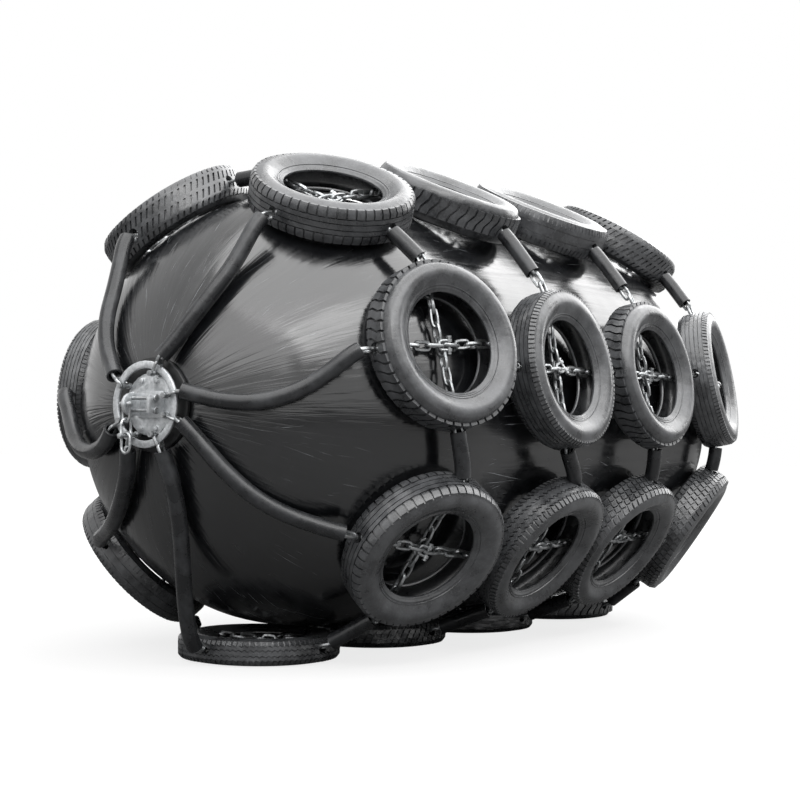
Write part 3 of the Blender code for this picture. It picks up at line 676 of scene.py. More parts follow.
@dataclass
class Seat:
    """Where one tyre lies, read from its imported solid."""

    ring: int
    column: int
    shape: BagShape
    middle: Vector = field(init=False)
    along: Vector = field(init=False)
    around: Vector = field(init=False)
    out: Vector = field(init=False)
    width: float = field(init=False)
    radius: float = field(init=False)

    @property
    def node(self) -> str:
        """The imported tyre's name."""
        return f"tyre_ring{self.ring + 1}_column{self.column + 1}"

    def __post_init__(self) -> None:
        """Find the tyre's middle and its flattest direction."""
        points = node_points(self.node)
        centre = points.mean(axis=0)
        _, _, axes = np.linalg.svd(points - centre)
        self.middle = Vector(centre)
        out = Vector(axes[2])
        away = self.middle - self.shape.middle
        away.x = 0.0
        self.out = (out if out.dot(away) > 0.0 else -out).normalized()
        self.along = (AXIAL - self.out * self.out.x).normalized()
        self.around = self.out.cross(self.along)
        heights = (points - centre) @ np.array(self.out)
        self.width = float(heights.max() - heights.min())
        flat = (points - centre) - np.outer(heights, np.array(self.out))
        self.radius = float(np.linalg.norm(flat, axis=1).max())

    @property
    def angle(self) -> float:
        """The tyre's angle round the bag, from -Y towards +Z."""
        away = self.middle - self.shape.middle
        return math.atan2(away.z, -away.y)

    def matrix(self) -> Matrix:
        """Matrix from a tyre made round Z to this seat."""
        return standing(self.middle, self.along, self.around, self.out)

    def point(self, along: float = 0.0, around: float = 0.0, out: float = 0.0) -> Vector:
        """A point given by its distances from the tyre's middle."""
        return self.middle + self.along * along + self.around * around + self.out * out


class Column(Enum):
    """What a column of a tread is: cut into blocks, left as a rib, or a groove."""

    BLOCKS = "blocks"
    RIB = "rib"
    GROOVE = "groove"


@dataclass(frozen=True)
class TreadPattern:
    """How a tread is cut.

    Its columns, each with its share of the width, run from one edge to the middle one.
    The cross grooves' width, lean and curl are in pitches, depth and zigzag in metres.
    """

    half: tuple[tuple[Column, float], ...]
    pitches: int
    groove: float
    depth: float
    lean: float = 0.0
    curl: float = 0.0
    zigzag: float = 0.0

    @property
    def columns(self) -> tuple[tuple[Column, float], ...]:
        """All the columns, from edge to edge."""
        return self.half + self.half[-2::-1]


class Tread(Enum):
    """The treads of the old truck tyres in the net."""

    LUGS = TreadPattern(
        ((Column.BLOCKS, 0.16), (Column.GROOVE, 0.03), (Column.BLOCKS, 0.18),
         (Column.BLOCKS, 0.26)), pitches=50, groove=0.24, depth=0.014, curl=0.8)
    SHOULDER_SLOTS = TreadPattern(
        ((Column.BLOCKS, 0.15), (Column.BLOCKS, 0.13), (Column.GROOVE, 0.035),
         (Column.RIB, 0.13), (Column.GROOVE, 0.03), (Column.RIB, 0.16)),
        pitches=54, groove=0.20, depth=0.010)
    ANGLED_SLOTS = TreadPattern(
        ((Column.BLOCKS, 0.14), (Column.RIB, 0.07), (Column.BLOCKS, 0.12),
         (Column.BLOCKS, 0.12), (Column.RIB, 0.10)),
        pitches=68, groove=0.34, depth=0.010, lean=1.5)
    FINE_RIBS = TreadPattern(
        ((Column.BLOCKS, 0.14), (Column.GROOVE, 0.03), (Column.RIB, 0.11),
         (Column.GROOVE, 0.025), (Column.RIB, 0.11), (Column.GROOVE, 0.025),
         (Column.RIB, 0.12)), pitches=104, groove=0.34, depth=0.007)
    ZIGZAG_RIBS = TreadPattern(
        ((Column.BLOCKS, 0.16), (Column.GROOVE, 0.045), (Column.RIB, 0.15),
         (Column.GROOVE, 0.045), (Column.RIB, 0.20)),
        pitches=88, groove=0.36, depth=0.008, zigzag=0.006)
    BLOCKS = TreadPattern(
        ((Column.BLOCKS, 0.17), (Column.GROOVE, 0.045), (Column.BLOCKS, 0.16),
         (Column.GROOVE, 0.04), (Column.BLOCKS, 0.17)),
        pitches=68, groove=0.32, depth=0.009, lean=0.8, zigzag=0.003)
    BALD = TreadPattern(
        ((Column.BLOCKS, 0.20), (Column.RIB, 0.14), (Column.GROOVE, 0.02),
         (Column.RIB, 0.28)), pitches=92, groove=0.30, depth=0.003)


@dataclass
class TyreForm:
    """One worn truck tyre, made round Z with its holes along X and Y."""

    tread: Tread
    radius: float = 0.3625
    width: float = 0.185
    shoulder_height: float = 0.0785  # half the tread's width
    liner_depth: float = 0.020  # points less deep than this belong to the tread
    crown_drop: float = 0.0020  # how far the tread curves down to its edges
    edge_drop: float = 0.0110  # how far it falls off at the shoulder
    edge_start: float = 0.86  # share of the half width at which that starts
    hole_radius: float = 0.024
    hole_drop: float = 0.008  # how far below the tyre's middle the holes are
    hole_length: float = 0.09
    long_pitch: int = 60  # treads with fewer pitches get a finer spin
    wobble: float = 0.0012  # random wear of the tread

    @property
    def steps_in_pitch(self) -> int:
        """Steps of the spin in one pitch of the tread, more where it has few pitches."""
        return 3 if self.tread.value.pitches < self.long_pitch else 2

    def side_points(self) -> list[tuple[float, float]]:
        """One sidewall from the tread's edge down to the bead and round inside it."""
        return [(0.3430, 0.0788), (0.3370, 0.0795), (0.3330, 0.0815), (0.3200, 0.0870),
                (0.3060, 0.0910), (0.2900, 0.0890), (0.2740, 0.0810), (0.2580, 0.0705),
                (0.2480, 0.0640), (0.2465, 0.0660),
                (0.2440, 0.0650), (0.2425, 0.0610), (0.2380, 0.0585), (0.2360, 0.0605),
                (0.2325, 0.0590), (0.2300, 0.0545), (0.2240, 0.0515), (0.2195, 0.0470),
                (0.2190, 0.0400), (0.2230, 0.0350), (0.2350, 0.0440), (0.2500, 0.0560),
                (0.2750, 0.0690), (0.3020, 0.0730), (0.3230, 0.0640), (0.3370, 0.0400)]

    def tread_marks(self) -> list[float]:
        """Heights of the edges between the tread's columns, top to bottom."""
        shares = [share for _, share in self.tread.value.columns]
        total = sum(shares)
        marks = [self.shoulder_height]
        for share in shares:
            marks.append(marks[-1] - 2 * self.shoulder_height * share / total)
        return marks

    def tread_radius(self, height: float) -> float:
        """Radius of the tread's groove bottoms at a height."""
        edge = abs(height) / self.shoulder_height
        crown = self.radius - self.tread.value.depth
        past = max(0.0, edge - self.edge_start) / (1.0 - self.edge_start)
        return crown - self.crown_drop * edge ** 2 - self.edge_drop * past

    def section(self) -> list[tuple[float, float]]:
        """The closed cut through the tyre; its grooves run out over the shoulder."""
        upper = self.side_points()
        while upper[0][0] > self.tread_radius(self.shoulder_height):
            upper.pop(0)
        lower = [(radius, -height) for radius, height in reversed(upper)]
        tread = [(self.tread_radius(height), height) for height in reversed(self.tread_marks())]
        return upper + lower + tread

    def build(self) -> bpy.types.Object:
        """Spin the section, raise the tread and cut the chain holes.

        Returns:
            The tyre at the origin.
        """
        pattern = self.tread.value
        steps = pattern.pitches * self.steps_in_pitch
        section = self.section()
        Bench.clear()
        bpy.ops.mesh.primitive_circle_add(vertices=len(section), radius=self.radius)
        tyre = bpy.context.active_object
        for vertex, (radius, height) in zip(tyre.data.vertices, section):
            vertex.co = (radius, 0.0, height)

        def spin() -> None:
            """Turn the section all the way round."""
            bpy.ops.mesh.spin(steps=steps, angle=2 * math.pi, center=(0, 0, 0), axis=(0, 0, 1))
        Bench.edit(tyre, spin)
        Bench.close(tyre)
        self.raise_tread(tyre, steps)
        self.bend_tread(tyre, steps)
        self.cut_holes(tyre)
        Bench.smooth(tyre, 38.0)
        return tyre

    def raise_tread(self, tyre: bpy.types.Object, steps: int) -> None:
        """Extrude the blocks and ribs out of the groove bottoms.

        Args:
            tyre: the plain spun tyre.
            steps: how many steps go round it.
        """
        pattern = self.tread.value
        columns = pattern.columns
        marks = self.tread_marks()
        liner = self.radius - self.liner_depth

        def stands_up(centre: Vector) -> bool:
            """Whether a face belongs to a rib or a block."""
            radius = math.hypot(centre.x, centre.y)
            if radius < liner or abs(centre.z) > self.shoulder_height:
                return False
            kind, _ = columns[sum(1 for mark in marks[1:-1] if centre.z < mark)]
            turn = math.atan2(centre.y, centre.x) % (2 * math.pi)
            step = int(turn / (2 * math.pi) * steps) % self.steps_in_pitch
            in_groove = step == self.steps_in_pitch - 1
            return kind is Column.RIB or (kind is Column.BLOCKS and not in_groove)

        def extrude() -> None:
            """Lift the chosen faces into their own walls."""
            bpy.ops.mesh.extrude_region_move(TRANSFORM_OT_translate={"value": (0, 0, 0)})
        Bench.choose(tyre, Part.FACES, stands_up)
        Bench.edit(tyre, extrude, everything=False)
        for vertex in tyre.data.vertices:
            if vertex.select:
                flat = Vector((vertex.co.x, vertex.co.y, 0.0)).normalized()
                vertex.co += flat * pattern.depth

    def bend_tread(self, tyre: bpy.types.Object, steps: int) -> None:
        """Narrow the cross grooves, lean and curl them, and zigzag the ribs.

        Args:
            tyre: the tyre with its raised tread.
            steps: how many steps go round it.
        """
        pattern = self.tread.value
        count = self.steps_in_pitch
        block = (1.0 - pattern.groove) / (count - 1)
        noise = random.Random(pattern.pitches)
        pitch_angle = 2 * math.pi / pattern.pitches
        for vertex in tyre.data.vertices:
            x, y, z = vertex.co
            radius = math.hypot(x, y)
            cell = (math.atan2(y, x) % (2 * math.pi)) / (2 * math.pi) * steps
            pitch, part = divmod(cell, count)
            share = part * block if part <= count - 1 else 1.0 - (count - part) * pattern.groove
            across = max(-1.0, min(1.0, z / self.shoulder_height))
            shift = pattern.lean * across + pattern.curl * 0.5 * math.sin(math.pi * across)
            angle = (pitch + share + shift) * pitch_angle
            if radius > self.radius - self.liner_depth:
                wave = abs(((cell / count) % 1.0) * 2 - 1) * 2 - 1
                z += pattern.zigzag * wave * (1.0 - min(1.0, abs(across) ** 4))
                radius += noise.uniform(-self.wobble, self.wobble)
            vertex.co = (radius * math.cos(angle), radius * math.sin(angle), z)

    def cut_holes(self, tyre: bpy.types.Object) -> None:
        """Cut a round chain hole through the tread at each quarter turn."""
        cutters = []
        for quarter in range(4):
            turn = quarter * math.pi / 2
            Bench.clear()
            bpy.ops.mesh.primitive_cylinder_add(
                vertices=20, radius=self.hole_radius, depth=self.hole_length,
                location=(self.radius * math.cos(turn), self.radius * math.sin(turn),
                          -self.hole_drop),
                rotation=(0.0, math.pi / 2, turn))
            cutters.append(bpy.context.active_object)
        cutter = Bench.weld(cutters, "hole_cutter")
        Bench.take(cutter)
        bpy.ops.object.transform_apply(location=True, rotation=True, scale=True)
        Bench.modify(tyre, "BOOLEAN", operation="DIFFERENCE", solver="EXACT", object=cutter)
        Bench.discard(cutter)


@dataclass
class TyreSet:
    """All the tyres of the net, each with the tread that the photo shows there."""

    seats: list[list[Seat]]
    seed: int = 7
    treads: tuple[tuple[Tread, ...], ...] = (
        (Tread.ZIGZAG_RIBS, Tread.SHOULDER_SLOTS, Tread.LUGS, Tread.SHOULDER_SLOTS,
         Tread.ANGLED_SLOTS, Tread.FINE_RIBS, Tread.BALD),
        (Tread.BLOCKS, Tread.ZIGZAG_RIBS, Tread.FINE_RIBS, Tread.LUGS, Tread.BLOCKS,
         Tread.SHOULDER_SLOTS, Tread.FINE_RIBS),
        (Tread.FINE_RIBS, Tread.BLOCKS, Tread.LUGS, Tread.BALD, Tread.FINE_RIBS,
         Tread.ZIGZAG_RIBS, Tread.BLOCKS),
        (Tread.LUGS, Tread.BLOCKS, Tread.FINE_RIBS, Tread.ANGLED_SLOTS,
         Tread.SHOULDER_SLOTS, Tread.BLOCKS, Tread.ZIGZAG_RIBS),
    )

    def build(self, material: bpy.types.Material) -> None:
        """Model each tread once and lay a copy of it in every seat.

        Args:
            material: the tyres' rubber.
        """
        patterns = {tread: TyreForm(tread).build() for tread in Tread}
        chance = random.Random(self.seed)
        for ring, row in enumerate(self.seats):
            for column, seat in enumerate(row):
                pattern = patterns[self.treads[ring][column]]
                across = seat.radius / TyreForm.radius
                squeeze = Matrix.Diagonal((across, across, seat.width / TyreForm.width, 1.0))
                quarter = Matrix.Rotation(chance.randrange(4) * math.pi / 2, 4, "Z")
                place = seat.matrix() @ squeeze @ quarter
                tyre = Bench.copy(pattern, f"{seat.node}_rubber", place)
                Bench.dress(tyre, material, "tyre_rubber", [seat.node])
        for pattern in patterns.values():
            Bench.discard(pattern)


class Route:
    """A chain's path: points with the direction that faces away from the bag."""

    def __init__(self) -> None:
        """Start with no points."""
        self.points: list[Vector] = []
        self.outs: list[Vector] = []
        self.marks: list[float] = [0.0]

    def add(self, point: Vector, out: Vector) -> float:
        """Lengthen the path to a point.

        Args:
            point: the next point.
            out: the direction away from the bag there.

        Returns:
            The point's distance along the path.
        """
        if self.points:
            self.marks.append(self.marks[-1] + (point - self.points[-1]).length)
        self.points.append(point)
        self.outs.append(out)
        return self.marks[-1]

    def at(self, mark: float) -> tuple[Vector, Vector]:
        """Point and outward direction at a distance along the path."""
        mark = min(max(mark, 0.0), self.marks[-1])
        index = 0
        while index < len(self.marks) - 2 and mark > self.marks[index + 1]:
            index += 1
        share = (mark - self.marks[index]) / (self.marks[index + 1] - self.marks[index])
        point = self.points[index].lerp(self.points[index + 1], share)
        return point, self.outs[index].lerp(self.outs[index + 1], share).normalized()

    def frame(self, mark: float, reach: float = 0.03) -> Matrix:
        """A place on the path, X along it and Z away from the bag.

        Args:
            mark: distance along the path.
            reach: how far each way the direction is averaged.

        Returns:
            The place as a matrix.
        """
        point, out = self.at(mark)
        ahead = (self.at(mark + reach)[0] - self.at(mark - reach)[0]).normalized()
        side = out.cross(ahead).normalized()
        return standing(point, ahead, side, ahead.cross(side))


@dataclass
class Links:
    """Welded chain link and the small shackle that joins chains, made once each."""

    wire: float = 0.016
    pitch: float = 0.063  # length that a link adds to a chain
    width: float = 0.050
    shackle_wire: float = 0.014
    shackle_half: float = 0.020
    shackle_length: float = 0.058
    twist: float = 0.35  # largest random roll of a link, in radians
    stray: float = 0.003  # largest sideways shift of a link
    yaw: float = 0.10
    link: bpy.types.Object = field(init=False)
    shackle: bpy.types.Object = field(init=False)

    def __post_init__(self) -> None:
        """Model both patterns."""
        self.link = self.make_link()
        self.shackle = self.make_shackle()

    def make_link(self) -> bpy.types.Object:
        """A torus whose two halves are drawn apart along X."""
        Bench.clear()
        bpy.ops.mesh.primitive_torus_add(
            major_radius=(self.width - self.wire) / 2, minor_radius=self.wire / 2,
            major_segments=12, minor_segments=6)
        link = bpy.context.active_object
        stretch = (self.pitch + self.wire * 2 - self.width) / 2
        for side in (-1.0, 1.0):
            Bench.choose(link, Part.POINTS, lambda point: point.x * side > 0.0001)

            def pull() -> None:
                """Draw one half out."""
                bpy.ops.transform.translate(value=(side * stretch, 0.0, 0.0))
            Bench.edit(link, pull, everything=False)
        Bench.smooth(link, 60.0)
        return link

    def make_shackle(self) -> bpy.types.Object:
        """A U bar with eyes and a pin, its crown at the origin and its pin at +X."""
        half, length = self.shackle_half, self.shackle_length
        points = [Vector((length, half, 0.0))]
        for step in range(9):
            turn = math.pi / 2 + math.pi * step / 8
            points.append(Vector((half + half * math.cos(turn), half * math.sin(turn), 0.0)))
        points.append(Vector((length, -half, 0.0)))
        parts = [Bench.bar(points, self.shackle_wire / 2, "shackle_bow")]
        eyes = [(14, 0.0135, 0.014, side * half) for side in (-1.0, 1.0)]
        pin = [(12, 0.0072, 0.078, 0.0), (12, 0.0120, 0.009, 0.036), (12, 0.0105, 0.007, -0.034)]
        for sides, radius, depth, shift in eyes + pin:
            Bench.clear()
            bpy.ops.mesh.primitive_cylinder_add(vertices=sides, radius=radius, depth=depth,
                                                location=(length, shift, 0.0),
                                                rotation=(math.pi / 2, 0.0, 0.0))
            parts.append(bpy.context.active_object)
        for part in parts:
            Bench.take(part)
            bpy.ops.object.transform_apply(location=True, rotation=True, scale=True)
        shackle = Bench.weld(parts, "shackle_pattern")
        Bench.smooth(shackle, 40.0)
        return shackle

    def lay(self, route: Route, start: float, count: int, first_up: bool,
            chance: random.Random) -> list[bpy.types.Object]:
        """Lay links along a route, each a quarter turn from the last.

        Args:
            route: the chain's path.
            start: distance to the first link's middle.
            count: how many links.
            first_up: whether the first link stands on edge.
            chance: small random turns.

        Returns:
            The links.
        """
        laid = []
        for number in range(count):
            up = (number % 2 == 0) == first_up
            turn = math.pi / 2 if up else 0.0
            turn += chance.uniform(-self.twist, self.twist)
            place = route.frame(start + number * self.pitch)
            place @= Matrix.Translation((0.0, chance.uniform(-self.stray, self.stray),
                                         chance.uniform(-self.stray, self.stray)))
            place @= Matrix.Rotation(chance.uniform(-self.yaw, self.yaw), 4, "Z")
            laid.append(Bench.copy(self.link, "link", place @ Matrix.Rotation(turn, 4, "X")))
        return laid

    def discard(self) -> None:
        """Remove both patterns."""
        Bench.discard(self.link)
        Bench.discard(self.shackle)


@dataclass
class Hose:
    """A length of thick rubber hose over the chain."""

    radius: float = 0.035
    wall: float = 0.009
    spacing: float = 0.03  # between the points that a hose is swept along
    sides: int = 20
    softenings: int = 3

    def build(self, route: Route, start: float, end: float, name: str) -> bpy.types.Object:
        """Sweep a hose along part of a route.

        Args:
            route: the chain's path.
            start: distance to one end.
            end: distance to the other end.
            name: the object's name.

        Returns:
            The hose, open at both ends.
        """
        count = max(4, round((end - start) / self.spacing))
        points = [route.at(start + (end - start) * step / count)[0] for step in range(count + 1)]
        for _ in range(self.softenings):
            inner = [(points[i - 1] + points[i] * 2 + points[i + 1]) / 4
                     for i in range(1, len(points) - 1)]
            points = [points[0]] + inner + [points[-1]]
        hose = Bench.bar(points, self.radius, name, sides=self.sides, capped=False)
        Bench.modify(hose, "SOLIDIFY", thickness=self.wall, offset=-1.0)
        Bench.smooth(hose, 50.0)
        return hose


@dataclass
class Net:
    """The hoops and runs of chain with their hoses."""

    shape: BagShape
    seats: list[list[Seat]]
    links: Links
    hose: Hose
    tread_hole: float = 0.066  # across the hole in a packed tyre's tread
    tyre_wall: float = 0.022  # thickness of a packed sidewall
    tread_width: float = 0.145  # between a packed tyre's shoulders
    hole_rim: float = 0.004  # rubber left beside a hole
    hoop_margin: float = 0.035  # bare chain at each end of a hoop's hose
    arm_margin: float = 0.034  # bare chain between an arm's hose and the ring
    arm_standoff: float = 0.012  # air under an arm's hose
    arm_sags: tuple[float, ...] = (0.10, 0.10, 0.13, 0.10, 0.10, 0.15, 0.12)
    rim_turns: tuple[float, ...] = (28.0, 16.0, 0.0, 0.0, 26.0, 33.0, 19.0)
    arm_steps: int = 8
    ring_lead: float = 0.034  # straight end of an arm before the ring
    tread_clearance: float = 0.004  # how far a chain passes a tread
    gap: float = 0.0003  # keeps the chain off what it lies on
    arm_lead: float = 0.045  # bare chain between a tyre and an arm's hose
    over_wires: float = 1.1  # how high a run lies over a hoop, in wires
    crossing_pitches: float = 0.72  # from a crossing to the next link, in pitches
    lead_pitches: float = 0.35  # from an arm's first link on to its hose, in pitches
    rim_pitches: float = 0.2  # how far inside the hose's end its last link is
    spare_before: float = 0.6  # added before rounding down to whole links
    spare_after: float = 0.8
    bridge_inset: float = 0.03  # how far a bridge starts inside a tread
    crossing_place: tuple[float, float, float] = (-0.028, 0.0, 0.006)
    crossing_turn: float = 0.35  # largest turn of a crossing's shackle, in radians
    crossing_roll: float = 0.4
    rim_shackle_gap: float = 0.016  # from the ring's edge out to a shackle's origin
    hoop_seed: int = 21
    run_seed: int = 33
    bare_ends: dict[tuple[int, int], tuple[float, float]] = field(default_factory=lambda: {
        (0, 1): (-0.012, -0.012), (1, 1): (-0.012, -0.012), (2, 1): (-0.012, -0.012),
        (3, 1): (-0.012, -0.012), (0, 2): (0.020, -0.010), (1, 2): (0.100, -0.010),
        (2, 2): (0.090, -0.010), (3, 2): (0.060, -0.010)})

    def chain_height(self, seat: Seat) -> float:
        """Height at which a chain lies on the low edge of a tyre's holes."""
        inside = min(self.tread_width, seat.width) / 2 - self.tyre_wall
        half = min(self.tread_hole / 2, inside - self.hole_rim)
        return self.links.wire / 2 + self.gap - half

    @staticmethod
    def dress_chain(node: str, metal: list[bpy.types.Object], chain: bpy.types.Material,
                    hoses: list[bpy.types.Object], rubber: bpy.types.Material) -> None:
        """Join a chain's links and its hoses, and dress both.

        Args:
            node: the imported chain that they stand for.
            metal: its links and shackles.
            chain: their metal.
            hoses: its hoses.
            rubber: their rubber.
        """
        Bench.dress(Bench.weld(metal, f"{node}_links"), chain, "galvanised_chain", [node])
        Bench.dress(Bench.weld(hoses, f"{node}_hoses"), rubber, "tyre_rubber", [])

    def hoops(self, chain: bpy.types.Material, rubber: bpy.types.Material) -> None:
        """Build the chains that go round the bag.

        Args:
            chain: the links' metal.
            rubber: the hoses' rubber.
        """
        chance = random.Random(self.hoop_seed)
        wire, pitch = self.links.wire, self.links.pitch
        for ring, row in enumerate(self.seats):
            route = Route()
            middles, exits, entries = [], [], []
            for seat in row + [row[0]]:
                inside = seat.radius + wire
                low = self.chain_height(seat)
                entries.append(route.add(seat.point(around=-inside, out=low), seat.out))
                middles.append(route.add(seat.point(out=low), seat.out))
                exits.append(route.add(seat.point(around=inside, out=low), seat.out))
            metal, hoses = [], []
            for column in range(len(row)):
                bare = self.bare_ends.get((ring, column), (self.hoop_margin, self.hoop_margin))
                low_end = exits[column] + bare[0]
                before = int((middles[column] - entries[column]) / pitch + self.spare_before)
                after = int((low_end - middles[column]) / pitch + self.spare_after)
                metal += self.links.lay(route, middles[column] - before * pitch,
                                        before + 1 + after, before % 2 == 1, chance)
                high_end = entries[column + 1] - bare[1]
                name = f"hoop_{ring + 1}_hose_{column + 1}"
                hoses.append(self.hose.build(route, low_end, high_end, name))
            self.dress_chain(f"hoop_chain_{ring + 1}", metal, chain, hoses, rubber)

    def ring_node(self, end: float) -> str:
        """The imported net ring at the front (-1) or at the rear (1)."""
        return "front_net_ring" if end < 0 else "rear_net_ring"

    def rim_angle(self, seat: Seat) -> float:
        """Angle round the bag at which an arm reaches the net ring, in radians."""
        return seat.angle + math.radians(self.rim_turns[seat.column])

    def rim_out(self, seat: Seat) -> Vector:
        """Direction from the net ring's middle to where an arm reaches it."""
        angle = self.rim_angle(seat)
        return Vector((0.0, -math.cos(angle), math.sin(angle)))

    def arm_points(self, seat: Seat, end: float) -> list[Vector]:
        """Points of an arm from a tyre's tread over the dome to the net ring.

        Args:
            seat: the end ring's tyre.
            end: -1 at the front and 1 at the rear.

        Returns:
            The points, from the tyre.
        """
        centre = self.shape.middle
        inside = seat.radius + self.links.wire
        start = seat.point(along=end * inside, out=self.chain_height(seat))
        lead = start + seat.along * end * self.links.pitch - centre
        rim_middle, rim_radius = middle_and_radius(self.ring_node(end))
        foot = (abs(lead.x), math.hypot(lead.y, lead.z))
        rim = (abs(rim_middle.x - centre.x), rim_radius + self.gap + self.ring_lead)
        angle = seat.angle
        points = []
        for step in range(self.arm_steps + 1):
            share = step / self.arm_steps
            reach = foot[0] + (rim[0] - foot[0]) * share
            radius = foot[1] + (rim[1] - foot[1]) * share
            if 0 < step < self.arm_steps:
                clearance = self.hose.radius + self.arm_standoff
                reach, radius = self.shape.push_off(reach, radius, clearance)
            sag = (self.arm_sags[seat.column] * math.cos(angle)
                   * math.sin(math.pi * share))
            turn = angle - sag / radius + (self.rim_angle(seat) - angle) * share ** 2
            points.append(centre + Vector((end * reach, -radius * math.cos(turn),
                                           radius * math.sin(turn))))
        points.append(points[-1] - self.rim_out(seat) * self.ring_lead)
        return [start] + points

    def away(self, point: Vector) -> Vector:
        """Direction away from the bag at a point near a dome."""
        local = point - self.shape.middle
        past = max(0.0, abs(local.x) - self.shape.barrel_half) / self.shape.dome_length
        radius = self.shape.radius
        lean = math.copysign(past, local.x)
        return Vector((lean, local.y / radius, local.z / radius)).normalized()

    def runs(self, chain: bpy.types.Material, rubber: bpy.types.Material) -> None:
        """Build the chains that go along the bag, with the hoses over the domes.

        Args:
            chain: the links' metal.
            rubber: the hoses' rubber.
        """
        chance = random.Random(self.run_seed)
        pitch = self.links.pitch
        for column in range(COLUMN_COUNT):
            line = [row[column] for row in self.seats]
            metal, hoses = [], []
            for end, seat in ((-1.0, line[0]), (1.0, line[-1])):
                route = Route()
                marks = [route.add(point, self.away(point))
                         for point in self.arm_points(seat, end)]
                start, finish = marks[0] + self.arm_lead, marks[-1] - self.arm_margin
                side = "front" if end < 0 else "rear"
                hoses.append(self.hose.build(route, start, finish,
                                             f"{side}_arm_{column + 1}"))
                metal += self.links.lay(route, start - pitch * self.lead_pitches, 2, True, chance)
                metal += self.links.lay(route, finish - pitch * self.rim_pitches, 1, True, chance)
                metal.append(self.rim_shackle(seat, end))
            for number, seat in enumerate(line):
                route = Route()
                inside = seat.radius + self.tread_clearance
                low = self.chain_height(seat)
                over = low + self.links.wire * self.over_wires
                route.add(seat.point(along=-inside, out=low), seat.out)
                route.add(seat.point(along=-pitch / 2, out=over), seat.out)
                middle = route.add(seat.point(out=over), seat.out)
                route.add(seat.point(along=pitch / 2, out=over), seat.out)
                last = route.add(seat.point(along=inside, out=low), seat.out)
                count = int((last - middle) / pitch)
                off = pitch * self.crossing_pitches
                metal += self.links.lay(route, middle + off, count, True, chance)
                metal += self.links.lay(route, middle - off - (count - 1) * pitch,
                                        count, count % 2 == 1, chance)
                metal.append(self.crossing(route, middle, chance))
                if number + 1 < len(line):
                    metal += self.bridge(seat, line[number + 1], chance)
            self.dress_chain(f"lengthwise_chain_{column + 1}", metal, chain, hoses, rubber)

    def bridge(self, seat: Seat, after: Seat, chance: random.Random) -> list[bpy.types.Object]:
        """Links between two neighbouring tyres of a column.

        Args:
            seat: the first tyre's seat.
            after: the next tyre's seat.
            chance: small random turns.

        Returns:
            The links.
        """
        route = Route()
        first = seat.point(along=seat.radius - self.bridge_inset, out=self.chain_height(seat))
        second = after.point(along=self.bridge_inset - after.radius,
                             out=self.chain_height(after))
        route.add(first, seat.out)
        length = route.add(second, after.out)
        count = max(1, round(length / self.links.pitch))
        start = length / 2 - (count - 1) / 2 * self.links.pitch
        return self.links.lay(route, start, count, chance.random() < 0.5, chance)

    def crossing(self, route: Route, middle: float, chance: random.Random) -> bpy.types.Object:
        """The shackle that joins two chains in the middle of a tyre.

        Args:
            route: the lengthwise chain's path.
            middle: distance to the crossing.
            chance: small random turns.

        Returns:
            The shackle.
        """
        place = route.frame(middle) @ Matrix.Translation(self.crossing_place)
        turn = Matrix.Rotation(chance.uniform(-self.crossing_turn, self.crossing_turn), 4, "Z")
        roll = Matrix.Rotation(chance.uniform(-self.crossing_roll, self.crossing_roll), 4, "X")
        return Bench.copy(self.links.shackle, "crossing", place @ turn @ roll)

    def rim_shackle(self, seat: Seat, end: float) -> bpy.types.Object:
        """The small shackle that holds an arm's chain to the net ring.

        Args:
            seat: the end ring's tyre.
            end: -1 at the front and 1 at the rear.

        Returns:
            The shackle, its pin inside the ring.
        """
        centre, outer = middle_and_radius(self.ring_node(end))
        outward = self.rim_out(seat)
        side = AXIAL * end
        place = standing(centre + outward * (outer + self.rim_shackle_gap), -outward, side,
                         side.cross(outward))
        return Bench.copy(self.links.shackle, "rim_shackle", place)


